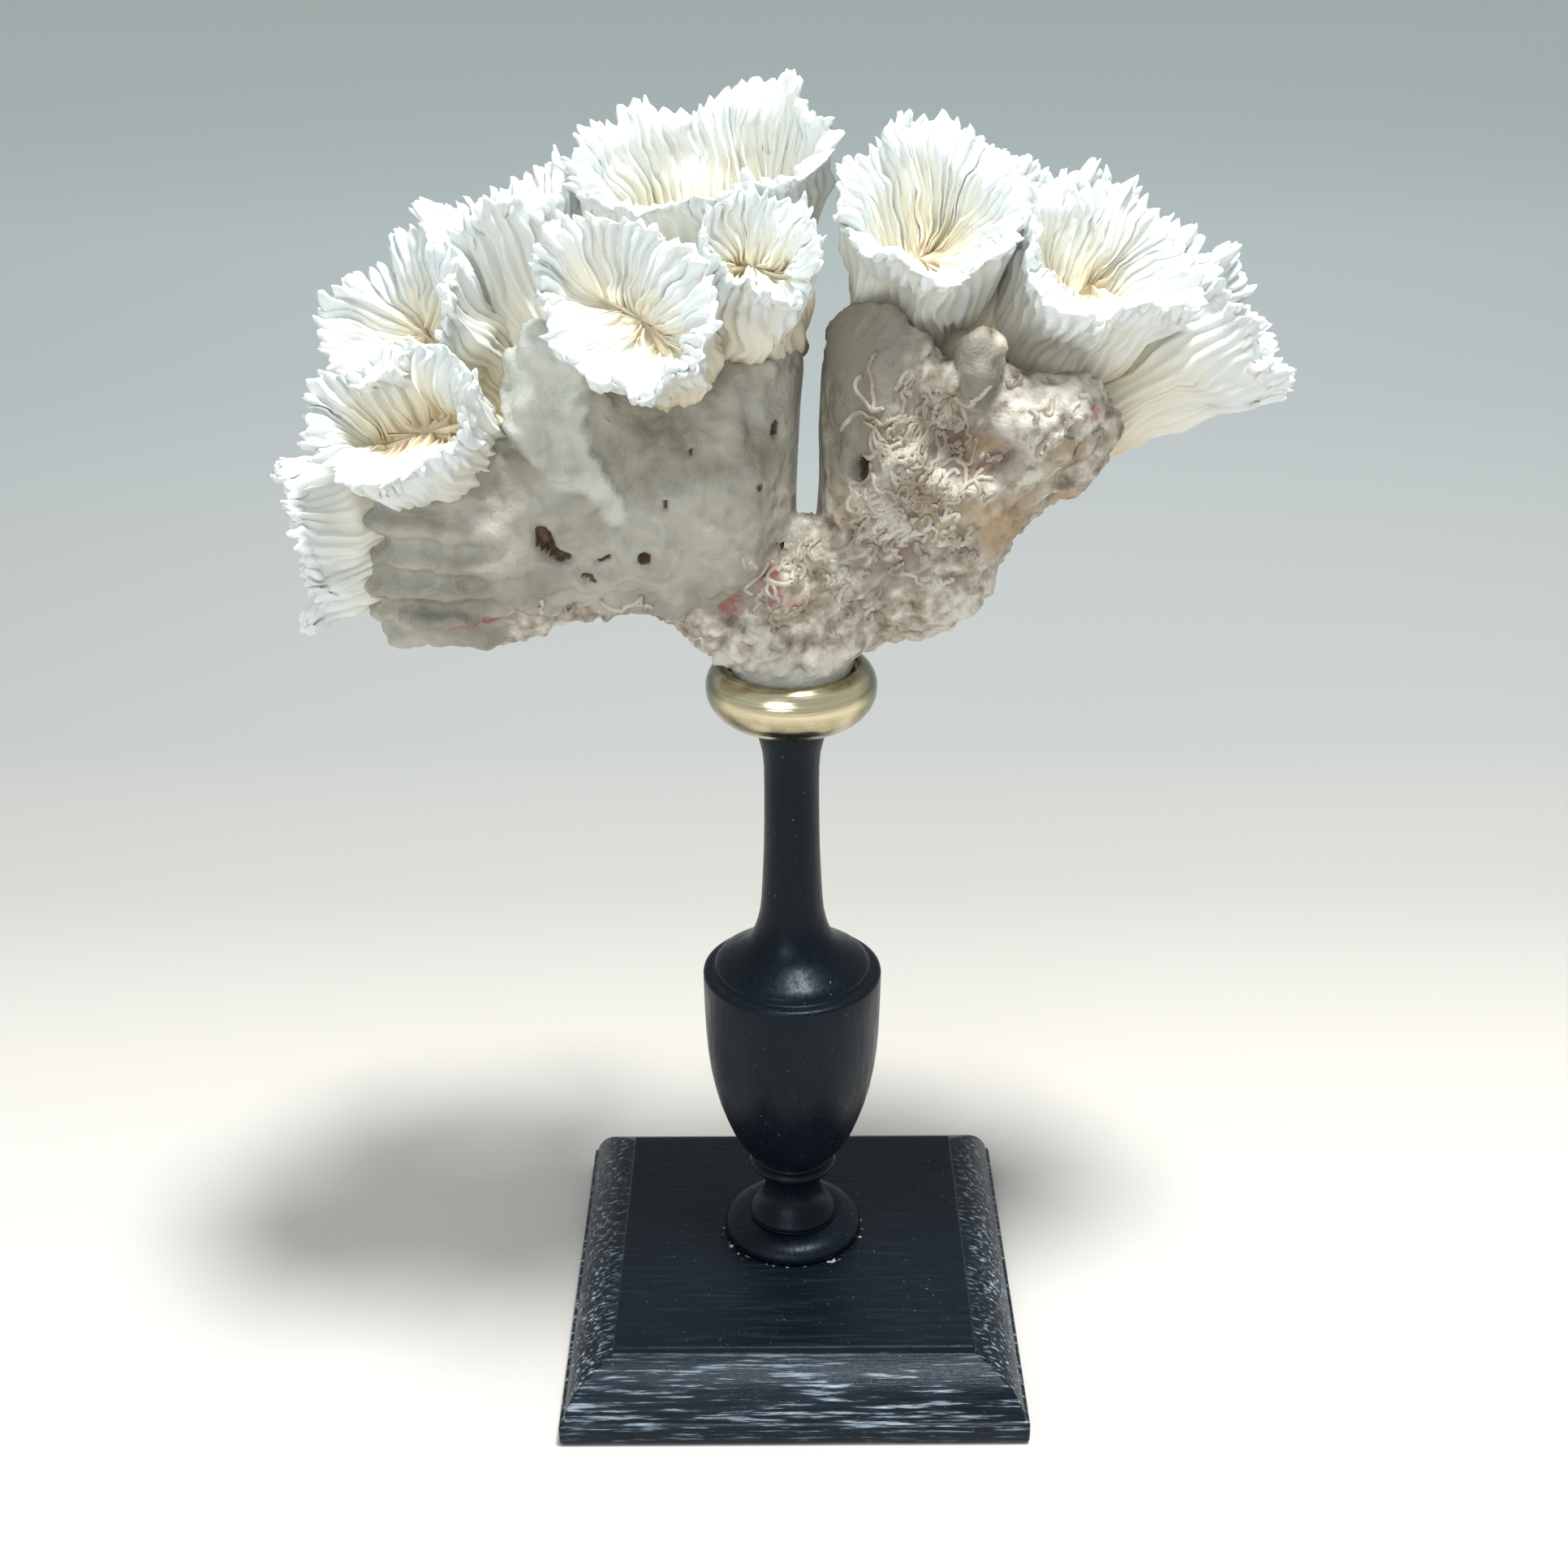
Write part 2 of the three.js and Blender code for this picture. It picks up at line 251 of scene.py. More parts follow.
def limy(tree, grain, stain):
    """The outputs of the limy grain, placed in a material with its own two sizes."""
    return add_node(tree, "ShaderNodeGroup", {"Vector": object_coordinates(tree), "Grain Scale": grain,
                                              "Stain Scale": stain}, node_tree=limy_grain).outputs


print("group:", limy_grain.name)

# %% [markdown]
# ## White coral
# The cups are bleached aragonite. The crests are white and let a very little light through, and the hollows
# between the plates get painted shade: cream that deepens to brown at the roots. A colour by height would miss
# the hollows, so each point carries a depth value, near 0 on a crest and near 1 at a root, and the painted
# shade follows it. The subsurface weight stays low, because light that wanders through many thin plates comes
# out grey.

# %% White coral material
white_coral, tree, shader = new_material(
    "white coral", Roughness=0.42, Subsurface_Weight=0.12, Subsurface_Scale=0.0006,
    Subsurface_Radius=(1.0, 0.92, 0.78), IOR=1.45)
grain = limy(tree, 700.0, 110.0)
stain = maths(tree, "MULTIPLY", grain["Stain"], 0.3)
shade = maths(tree, "MULTIPLY_ADD", point_value(tree, "depth"), 0.85, stain)
# Painted shade: the ramp runs from the bluish white of the crests through cream to brown at the deepest roots.
colour = ramp(tree, shade, [(0.12, (0.79, 0.85, 0.87)), (0.32, (0.80, 0.82, 0.79)),
                            (0.60, (0.81, 0.755, 0.60)), (1.0, (0.60, 0.42, 0.22))])
colour_and_bump(tree, shader, colour, grain["Height"], 0.18, 0.0003)
print("material:", white_coral.name)

# %% [markdown]
# ## Crust
# The crust is grey-beige lime. One recipe serves both boughs: values on the points say where it is rough,
# where the knob tops are painted lighter as painted light and the low spots and one hollow darker as painted
# shade, where a hole is painted dark as painted shade, where it is stained tan or pink, where the white
# plaster of the foot lies and where a paler plate of new growth covers it. Noise breaks up the edge of every
# such mask, so that nothing looks painted.


# %% Crust recipe
SMOOTH_LIME = [(0.32, (0.26, 0.245, 0.195)), (0.48, (0.345, 0.33, 0.275)), (0.62, (0.44, 0.425, 0.365))]
ROUGH_LIME = [(0.30, (0.19, 0.145, 0.105)), (0.43, (0.345, 0.30, 0.235)), (0.55, (0.49, 0.445, 0.37)),
              (0.69, (0.72, 0.69, 0.61))]
# Each tint, in the order it is laid on: mask, noise that breaks it, where it starts and is full, colour.
TINTS = (("grey", "clouds", 0.2, 0.9, (0.26, 0.24, 0.195)),
         ("plate", "clouds", 0.15, 1.1, (0.63, 0.64, 0.585)),
         # The next two tints are painted light: lighter knob tops, and painted shade in the low spots and the
         # hollow.
         ("raised", "pits", 0.5, 1.3, (0.66, 0.63, 0.56)),
         ("sunk", "pits", 0.25, 1.0, (0.215, 0.14, 0.11)),
         ("tan", "pits", 0.4, 1.1, (0.43, 0.31, 0.19)),
         ("pink", "pits", 0.70, 1.10, (0.36, 0.12, 0.11)),
         ("plaster", "clouds", 0.3, 0.8, (0.58, 0.57, 0.52)),
         # Painted shade: the holes are coloured nearly black-brown.
         ("hole", "clouds", 0.35, 0.7, (0.10, 0.065, 0.035)))


def mask(tree, name, noise_socket, low, high):
    """A point mask with its edge broken up by a noise: where the mask is 0 it stays 0."""
    uneven = maths(tree, "MULTIPLY", point_value(tree, name), maths(tree, "MULTIPLY", noise_socket, 2.0))
    return add_node(tree, "ShaderNodeMapRange", {"Value": uneven, "From Min": low, "From Max": high},
                    clamp=True).outputs["Result"]


def crust_material(name, roughness):
    material, tree, shader = new_material(name, Roughness=roughness, Subsurface_Weight=0.1,
                                          Subsurface_Scale=0.001)
    grains = {"clouds": limy(tree, 620.0, 75.0), "pits": limy(tree, 1500.0, 330.0)}
    clouds, pits = grains["clouds"], grains["pits"]
    colour = mix_colour(tree, mask(tree, "rough", clouds["Stain"], 0.35, 0.65),
                        ramp(tree, clouds["Stain"], SMOOTH_LIME), ramp(tree, pits["Stain"], ROUGH_LIME))
    for mask_name, grain_name, low, high, tint in TINTS:
        share = mask(tree, mask_name, grains[grain_name]["Stain"], low, high)
        colour = mix_colour(tree, share, colour, tint)
    height = maths(tree, "MULTIPLY_ADD", pits["Height"], 0.6, maths(tree, "MULTIPLY", clouds["Height"], 0.5))
    colour_and_bump(tree, shader, colour, height, 0.75, 0.0011)
    return material


crust = crust_material("smooth limy crust", 0.26)
worm_crust = crust_material("worm eaten crust", 0.55)
print("materials:", crust.name, worm_crust.name)

# %% [markdown]
# ## Lime of the worm tubes
# The worms build with the same lime as the crust, but younger and paler, so their tubes stand out from it a
# little. The same grain at a size of its own is enough.

# %% Worm tube material
worm_lime, tree, shader = new_material("worm tube lime", Roughness=0.55)
grain = limy(tree, 900.0, 160.0)
colour = ramp(tree, grain["Stain"], [(0.34, (0.28, 0.22, 0.165)), (0.5, (0.42, 0.37, 0.30)),
                                     (0.66, (0.60, 0.565, 0.49))])
colour_and_bump(tree, shader, colour, grain["Height"], 0.4, 0.0004)
print("material:", worm_lime.name)

# %% [markdown]
# ## Stained wood
# The stand is open-grained wood, stained black and waxed. Noise that is stretched along the grain gives the
# pores: lengthwise in the board, upright in the column. On the moulded edge of the board only, the pores are
# painted pale bluish white as painted highlights, the light caught in the open grain; a few specks of dust lie
# everywhere, and dots of old glue ring the foot of the column.

# %% Stained wood materials
STAIN = (0.003, 0.006, 0.010)
# Painted highlight: pale bluish-white pores stand for the light caught along the open grain of the moulded
# edge.
PAINTED_PORE_HIGHLIGHTS = [(0.40, STAIN), (0.54, (0.010, 0.015, 0.022)), (0.60, (0.19, 0.235, 0.285)),
              (0.74, (0.54, 0.62, 0.70))]


def glue_dots(tree, place, parts, height):
    """A broken ring of dots on the board, round the foot of the column."""
    aside = maths(tree, "SUBTRACT", parts["Y"], AXIS.y * MM)
    square = maths(tree, "ADD", maths(tree, "POWER", parts["X"], 2.0), maths(tree, "POWER", aside, 2.0))
    ring = ramp(tree, maths(tree, "MULTIPLY", maths(tree, "SQRT", square), 50.0),
                [(0.735, 0), (0.75, 1), (0.775, 1), (0.80, 0)])
    dots = ramp(tree, noise_value(tree, place, 520.0, detail=1.0), [(0.60, 0), (0.64, 1)])
    low = ramp(tree, height, [(0.825, 1), (0.84, 0)])
    return maths(tree, "MULTIPLY", maths(tree, "MULTIPLY", ring, dots), low)


def wood_material(name, stretch, highlight_streaks):
    """Black wood with its pores along the axis that is stretched least; the last value is how strongly the
    pores show as painted highlights on the moulded edge.
    """
    material, tree, shader = new_material(name, Specular_IOR_Level=0.2, Specular_Tint=(0.75, 0.88, 1.0))
    place = object_coordinates(tree)
    pores = noise_value(tree, object_coordinates(tree, stretch), 75.0, detail=7.0, roughness=0.65)
    parts = add_node(tree, "ShaderNodeSeparateXYZ", {"Vector": place}).outputs
    height = maths(tree, "MULTIPLY", parts["Z"], 50.0)
    edge = ramp(tree, height, [(0.02, 0.35), (0.27, 1), (0.66, 1), (0.76, 0.02)])
    # Painted highlights: the pale pores are mixed in on the moulded edge of the board only.
    base = mix_colour(tree, maths(tree, "MULTIPLY", edge, highlight_streaks), STAIN, ramp(tree, pores, PAINTED_PORE_HIGHLIGHTS))
    specks = ramp(tree, noise_value(tree, place, 1900.0, detail=1.0), [(0.77, 0), (0.80, 0.5)])
    base = mix_colour(tree, specks, base, (0.40, 0.42, 0.42))
    base = mix_colour(tree, glue_dots(tree, place, parts, height), base, (0.45, 0.46, 0.44))
    feed(tree, shader.inputs["Roughness"], ramp(tree, pores, [(0.42, 0.26), (0.66, 0.46)]))
    colour_and_bump(tree, shader, base, pores, 0.15 + 0.3 * highlight_streaks, 0.0004)
    return material


board_wood = wood_material("black stained board", (1, 16, 16), 1.0)
column_wood = wood_material("black stained column", (16, 16, 1), 0.0)
print("materials:", board_wood.name, column_wood.name)

# %% [markdown]
# ## Brass
# The collar was polished on the lathe, which leaves fine lines round it. Noise that is squashed along the
# height makes such lines. A bright band round the middle is left as a painted highlight, and above and below
# it the colour is painted dark brown and at the sides dark green, as painted dark reflections.

# %% Brass material
brass, tree, shader = new_material("polished brass", Metallic=1.0)
place = object_coordinates(tree)
parts = add_node(tree, "ShaderNodeSeparateXYZ", {"Vector": place}).outputs
lines = noise_value(tree, object_coordinates(tree, (1, 1, 50)), 50.0, detail=5.0)
base = ramp(tree, lines, [(0.3, (0.62, 0.54, 0.34)), (0.7, (0.84, 0.77, 0.54))])
height = maths(tree, "MULTIPLY_ADD", parts["Z"], 80.0, -11.0)
# Painted reflections: dark brown above and below, leaving a bright band round the middle as a painted
# highlight.
painted_dark_reflections = ramp(tree, height, [(0.0, 0.95), (0.48, 0.85), (0.64, 0), (0.90, 0), (1.0, 0.7)])
patches = ramp(tree, noise_value(tree, place, 120.0), [(0.36, 0.35), (0.58, 1)])
base = mix_colour(tree, maths(tree, "MULTIPLY", painted_dark_reflections, patches), base, (0.15, 0.125, 0.065))
# Painted dark reflection: the sides of the collar are coloured dark green.
across = maths(tree, "MULTIPLY", maths(tree, "ABSOLUTE", parts["X"]), 50.0)
base = mix_colour(tree, ramp(tree, across, [(0.62, 0), (0.80, 0.85)]), base, (0.085, 0.10, 0.06))
feed(tree, shader.inputs["Roughness"], ramp(tree, lines, [(0.3, 0.10), (0.7, 0.22)]))
colour_and_bump(tree, shader, base, lines, 0.3, 0.0002)
print("material:", brass.name)

# %% [markdown]
# ## The stand
# The board is a square loft with a moulded edge, and the column and the collar are turned: one profile is
# carried round the axis in many steps. Each profile is a list of half width or radius, and height (mm).

# %% Stand profiles
BOARD_PROFILE = [
    (46.2, 0), (47.0, 0.15), (47.4, 0.7), (47.5, 1.3), (47.5, 4.5), (47.35, 4.95), (46.95, 5.15), (46.7, 5.25),
    (46.6, 5.6), (46.35, 7.0), (45.85, 8.0), (45.2, 9.2), (44.2, 10.6), (42.9, 11.85), (41.2, 13.0),
    (39.2, 13.95), (37.6, 14.45), (37.15, 14.6), (36.95, 14.75), (36.9, 15.6), (36.8, 15.95), (36.5, 16.1),
    (35.5, 16.1),
]

COLUMN_PROFILE = [
    (0, 16.2), (14.2, 16.2), (14.7, 16.5), (14.9, 17.2), (14.75, 18.0), (14.2, 18.8), (13.3, 19.5),
    (12.2, 20.0), (10.8, 20.4), (9.5, 20.5), (9.1, 20.4), (9.0, 20.7), (9.3, 21.0), (9.35, 21.4), (9.0, 22.0),
    (8.2, 22.9), (7.3, 23.9), (6.6, 25.0), (6.15, 26.5), (5.95, 28.2), (6.0, 29.8), (6.35, 31.2), (7.1, 32.3),
    (8.2, 33.0), (8.9, 33.3), (9.25, 33.8), (9.3, 34.3), (9.05, 34.9), (8.5, 35.3), (8.0, 35.5), (7.95, 35.8),
    (8.7, 36.7), (10.2, 38.3), (11.7, 40.5), (13.0, 43.0), (14.3, 46.4), (15.6, 50.4), (16.6, 54.6),
    (17.3, 58.6), (17.8, 63.0), (18.1, 67.5), (18.25, 72.4), (18.35, 77), (18.4, 81.0), (18.3, 81.5),
    (17.9, 81.8), (17.2, 82.0), (16.4, 82.1), (16.1, 82.2), (16.0, 82.5), (16.0, 83.2), (15.7, 83.7),
    (14.4, 84.6), (12.6, 85.8), (10.8, 87.0), (9.4, 88.2), (8.4, 89.6), (7.6, 91.4), (7.0, 93.4),
    (6.5, 95.8), (6.25, 98.2), (6.05, 101.5), (5.85, 105.5), (5.65, 110), (5.52, 116), (5.45, 123),
    (5.5, 128), (5.75, 131), (6.2, 133), (6.6, 134.6), (6.8, 136.4), (6.8, 137.6), (0, 137.6),
]

COLLAR_PROFILE = [
    (0, 137.9), (8.6, 137.9), (10.2, 138.0), (11.9, 138.5), (13.5, 139.4), (14.9, 140.6), (15.9, 142.0),
    (16.5, 143.5), (16.7, 145.1), (16.6, 146.4), (16.2, 147.6), (15.6, 148.6), (14.9, 149.4), (14.2, 149.9),
    (13.6, 150.1), (13.1, 150.0), (12.8, 149.6), (12.6, 148.9), (12.5, 147.9), (0, 147.9),
]


def turned(name, profile, steps, material):
    turns = [2 * math.pi * k / steps for k in range(steps)]
    rings = [[AXIS + Vector((radius * math.cos(angle), radius * math.sin(angle), height)) for angle in turns]
             for radius, height in profile[1:-1]]
    return mesh_object(name, *loft(rings), material)


def square_ring(half, height, corner_steps=5, corner=0.5):
    """A square ring with a small round at each corner."""
    ring = []
    for quarter in range(4):
        angle = math.pi / 2 * quarter
        middle = Vector((half - corner, half - corner, 0))
        middle.rotate(Matrix.Rotation(angle, 3, "Z"))
        for k in range(corner_steps):
            way = angle + math.pi / 2 * k / (corner_steps - 1)
            ring.append(middle + Vector((math.cos(way), math.sin(way), 0)) * corner + Vector((0, 0, height)))
    return ring


print("profile points:", len(BOARD_PROFILE), len(COLUMN_PROFILE), len(COLLAR_PROFILE))

# %% Board, column and collar
board = mesh_object("moulded_board", *loft([square_ring(half, z) for half, z in BOARD_PROFILE]), board_wood)
column = turned("ebonised_column", COLUMN_PROFILE, 120, column_wood)
collar = turned("polished_collar", COLLAR_PROFILE, 128, brass)
for item, node, slot in ((board, "base_board", "stand_wood"), (column, "turned_column", "stand_wood"),
                         (collar, "brass_collar", "collar_brass")):
    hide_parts(node)
    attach(item, "root")
    print(item.name, "faces:", len(item.data.polygons))

# %% [markdown]
# ## The shape of a cup
# A cup is a trumpet with an oval mouth. Its middle is not a point but a short slit along the oval, and the
# plates stand square to that slit. Each row of numbers says where a mouth is, which way it opens, how big it
# is and how deep its slit lies. The root lies inside the bough.

# %% Cup layout
# Each cup: middle of the mouth from the column's axis, way it opens, way its oval lies, half length and half
# width of the rim, length, width of the root as a share of the rim, depth of the slit (mm), and for one cup
# how much stronger its tan is. That tan is a real stain in the mouth, laid on by strengthening the painted
# shade there.
CUPS = {
    "cup_front_long": ((-27.4, -27, 224), (-0.22, -0.78, 0.58), (0.62, 0.28, -0.75), (16.8, 12), 25, 0.66, 5),
    "cup_left_low": ((-67.5, -20, 203), (-0.46, -0.68, 0.57), (0.9, -0.35, 0.2), (17.5, 12), 26, 0.66, 5, 1.5),
    "cup_front_small": ((-5.4, -19, 232), (0.12, -0.72, 0.68), (1, 0, 0), (10, 9.5), 30, 1.12, 6),
    "cup_right_front": ((24.2, -6, 236), (0.05, -0.6, 0.8), (1, 0, 0), (14.8, 16.5), 34, 0.7, 11),
    "cup_right_mid": ((54.0, -7, 228), (0.3, -0.58, 0.76), (0.82, 0.1, -0.42), (16.5, 14), 32, 0.68, 9),
    "cup_crown": ((-15.2, 3, 242.8), (-0.12, -0.5, 0.86), (0.94, -0.05, 0.28), (23.4, 13.5), 44, 0.42, 14),
    "cup_left_tall": ((-50.0, 8, 233), (-0.24, -0.05, 0.96), (0.93, 0.1, 0.34), (14.2, 12), 41, 0.74, 11),
    "cup_left_high": ((-69.5, -2, 217.5), (-0.56, -0.5, 0.66), (-0.6, 0.3, 0.6), (15.5, 14.5), 30, 0.68, 7.5),
    "cup_left_end": ((-88, -3, 176.5), (-0.96, -0.2, -0.12), (0.12, 0, -1), (14.8, 13.5), 26, 0.74, 8),
    "cup_right_end": ((80.5, 4, 213.5), (0.83, -0.12, 0.52), (-0.5, 0, 0.85), (13.2, 12.5), 38, 0.62, 10),
    "cup_right_back": ((42.5, 13, 237.2), (0.28, 0.2, 0.93), (0.9, -0.1, -0.3), (12.5, 11), 40, 0.7, 10),
    "cup_right_rear": ((65, 20, 221.5), (0.45, 0.4, 0.79), (0.8, -0.5, 0.1), (13, 12), 32, 0.7, 10),
    "cup_right_heel": ((30, 32, 219), (0.08, 0.78, 0.62), (1, 0, 0), (13, 11.5), 30, 0.65, 9),
    "cup_left_rear": ((-17, 32, 223), (-0.02, 0.78, 0.62), (1, 0, 0), (14, 11.5), 30, 0.65, 9),
    "cup_left_heel": ((-58, 30, 207), (-0.42, 0.74, 0.52), (0.8, 0.5, 0.2), (14, 12), 30, 0.65, 9),
}
CUP_FLARE = 1.35


class Cup:
    """The directions and the wall of one cup, in millimetres from the column's axis."""

    def __init__(self, number, name, mouth, axis, along, rim, length, base, depth, tan=1.0):
        self.number, self.name = number, name
        self.mouth = Vector(mouth) + AXIS
        self.axis = Vector(axis).normalized()
        self.along = (Vector(along) - self.axis * Vector(along).dot(self.axis)).normalized()
        self.across = self.axis.cross(self.along)
        self.long_half, self.short_half = rim
        self.length, self.base, self.depth, self.tan = length, base, depth, tan

    def narrowing(self, height):
        """The width of the wall at a height below the rim, as a share of the rim."""
        share = min(max(1 + height / self.length, 0.0), 1.0)
        return self.base + (1 - self.base) * share ** CUP_FLARE

    def frill(self, angle, lobes):
        """An uneven wave round the rim, about -0.7 to 0.7."""
        return noise.noise(Vector((lobes * math.cos(angle), lobes * math.sin(angle), 7.1 * self.number)))

    def lift(self, angle):
        """The slow rise and fall of the rim, which groups the plates into petals."""
        waves = math.sin(3 * angle + self.number) + 0.8 * math.sin(5 * angle + 1.7 * self.number)
        return 0.8 * waves + 2.4 * self.frill(angle, 2.6) + 1.7 * self.frill(angle, 5.0)

    def slit(self, angle):
        reach = max(self.long_half - self.short_half, 0) + 0.16 * self.short_half
        return self.along * (reach * math.cos(angle))

    def rim_offset(self, angle):
        swell = 1 + 0.03 * math.sin(4 * angle + 2.3 * self.number) + 0.12 * self.frill(angle + 0.7, 3.6)
        return (self.along * (self.long_half * math.cos(angle))
                + self.across * (self.short_half * math.sin(angle))) * swell

    def point(self, angle, share, height):
        """A point of the cup: share 0 is the slit, 1 is the rim, and height is along the axis."""
        inner = self.slit(angle)
        outer = self.rim_offset(angle)
        return self.mouth + inner + (outer - inner) * share + self.axis * (height + self.lift(angle))


cups = [Cup(number, name, *facts) for number, (name, facts) in enumerate(CUPS.items())]
print("cups:", len(cups))

# %% [markdown]
# ## Spacing the plates
# Septa stand at even distances along the rim, whatever its shape. Even angles would crowd them at the ends of
# the oval, so the angles are found by walking round the rim in tiny steps.

# %% Plate spacing
PLATE_SPACING = 2.3
WALK_STEPS = 1440


def rim_angles(cup, per_plate=1):
    """Angles evenly spaced along the rim, with a given number for each plate."""
    rim = [cup.rim_offset(2 * math.pi * k / WALK_STEPS) for k in range(WALK_STEPS + 1)]
    walked = [0.0]
    for last, here in zip(rim, rim[1:]):
        walked.append(walked[-1] + (here - last).length)
    count = 2 * round(walked[-1] / PLATE_SPACING / 2) * per_plate
    angles, k = [], 0
    for n in range(count):
        target = walked[-1] * n / count
        while walked[k + 1] < target:
            k += 1
        share = (target - walked[k]) / (walked[k + 1] - walked[k])
        angles.append(2 * math.pi * (k + share) / WALK_STEPS)
    return angles


print("plates round each rim:", [len(rim_angles(cup)) for cup in cups])

# %% [markdown]
# ## The walls of the cups
# The wall is a thin pleated sheet, like a paper funnel: every septum bends it outward a little, and its edge
# is scalloped. It is lofted from the root up to the edge and down into the mouth, where it fills the space
# between the plates nearly to their crests.

# %% Cup walls
POINTS_PER_PLATE = 5
# Each row of the edge: height above the rim, width as a share of the rim, depth of the pleats and of the
# scallops (mm).
EDGE_ROWS = ((1.2, 1.02, 0.40, 0.2), (2.5, 1.05, 0.44, 0.45), (3.5, 1.075, 0.46, 0.7),
             (3.8, 1.05, 0.46, 0.75), (3.2, 1.01, 0.45, 0.6), (2.2, 0.965, 0.42, 0.35))
# Each row of the mouth: share from slit to rim, height, share of the depth, height of the ribs.
MOUTH_ROWS = ((0.90, 1.9, 0.0, 0.5), (0.80, 1.3, 0.05, 0.55), (0.68, 0.85, 0.20, 0.5),
              (0.52, 0.35, 0.48, 0.45), (0.34, -0.2, 0.78, 0.35), (0.16, -0.9, 1.0, 0.2))


def store_values(mesh, name, values):
    mesh.attributes.new(name, "FLOAT", "POINT").data.foreach_set("value", values)


def pleat(cup, n):
    """How far the wall bends outward at its n-th point: one rib for each plate, every second one stronger."""
    turn = 2 * math.pi * n / POINTS_PER_PLATE
    uneven = 1 + 0.5 * noise.noise(Vector((n * 0.13, cup.number, 2)))
    return (math.cos(turn) + 0.35 * math.cos(turn / 2)) * uneven


def cup_wall(cup):
    rings, painted_shade_values = [], []
    angles = rim_angles(cup, POINTS_PER_PLATE)
    ribs = [pleat(cup, n) for n in range(len(angles))]
    outside = [(-cup.length * (1 - k / 14), None, 0.12 + 0.5 * (k / 14) ** 1.5, 0.0) for k in range(15)]
    for height, width, pleats, scallop in (*outside, *EDGE_ROWS):
        ring = []
        share = min(1 + height / cup.length, 1.0)
        for rib, angle in zip(ribs, angles):
            outer = cup.rim_offset(angle)
            side = outer * (width or cup.narrowing(height)) + outer.normalized() * (rib * pleats)
            ring.append(cup.mouth + side + cup.axis * (height + rib * scallop + cup.lift(angle) * share))
            # Painted shade on the outside of the wall: darker towards the root and in the grooves between the
            # pleats.
            painted_shade_values.append(0.66 - 0.54 * share ** 1.4 - 0.10 * rib * share)
        rings.append(ring)
    for share, height, deep, rib_height in MOUTH_ROWS:
        rings.append([cup.point(angle, share, height - cup.depth * deep + rib_height * rib)
                      for rib, angle in zip(ribs, angles)])
        # Painted shade in the mouth: darker towards the slit and between the ribs, stronger in the one cup
        # with a real tan stain.
        painted_shade_values += [0.12 + (0.16 + 0.42 * cup.tan) * (1 - share) ** 1.3 - 0.08 * rib for rib in ribs]
    points, faces = loft(rings)
    painted_shade_values += [0.5, 0.75]
    item = mesh_object(cup.name + "_wall", points, faces, white_coral, merge=False)
    store_values(item.data, "depth", painted_shade_values)
    return item


print("wall rows:", 15 + len(EDGE_ROWS) + len(MOUTH_ROWS))

# %% [markdown]
# ## One plate
# A septum is a thin limy plate that climbs from the slit, swells into a rounded lobe above the rim and dies
# away on the outside. It is drawn as a low grid: stations along the plate, and at each station a foot hidden
# in the wall and a crest. Three kinds stand in turn: a broad lobe, one with a notch inside the rim, and a
# slim one between them. Subdivision rounds them later.

# %% Plate shapes
# Each station: share from slit to rim, crest height, share of the mouth's depth added to it, foot share,
# foot height, share of the depth added to it, half thickness (mm).
PLATE_STATIONS = [
    (0.05, 0.0, 1.0, 0.08, -2.0, 1.0, 0.26), (0.20, 0.3, 0.88, 0.24, -1.8, 0.98, 0.32),
    (0.38, 0.8, 0.66, 0.42, -1.6, 0.74, 0.38), (0.55, 1.3, 0.38, 0.60, -1.2, 0.46, 0.44),
    (0.71, 1.9, 0.12, 0.75, -0.8, 0.18, 0.56), (0.84, 2.8, 0.0, 0.86, -0.2, 0.0, 0.68),
    (0.95, 3.9, 0.0, 0.95, 0.8, 0.0, 0.82), (1.03, 4.4, 0.0, 1.0, 1.6, 0.0, 0.84),
    (1.07, 4.0, 0.0, 1.03, 1.6, 0.0, 0.78), (1.08, 2.8, 0.0, 1.03, 0.8, 0.0, 0.66),
    (1.06, 0.6, 0.0, 1.0, -0.6, 0.0, 0.45),
]
# Each kind: height of its lobe and its thickness, as shares.
PLATE_KINDS = {"broad": (1.0, 1.0), "notched": (1.1, 0.95), "slim": (0.84, 0.85)}
NOTCH_STATIONS = (4, 5)
# Each row up a plate: share of the way from foot to crest, and width.
PLATE_ROWS = ((0.0, 1.3), (0.62, 1.0), (1.0, 0.5))


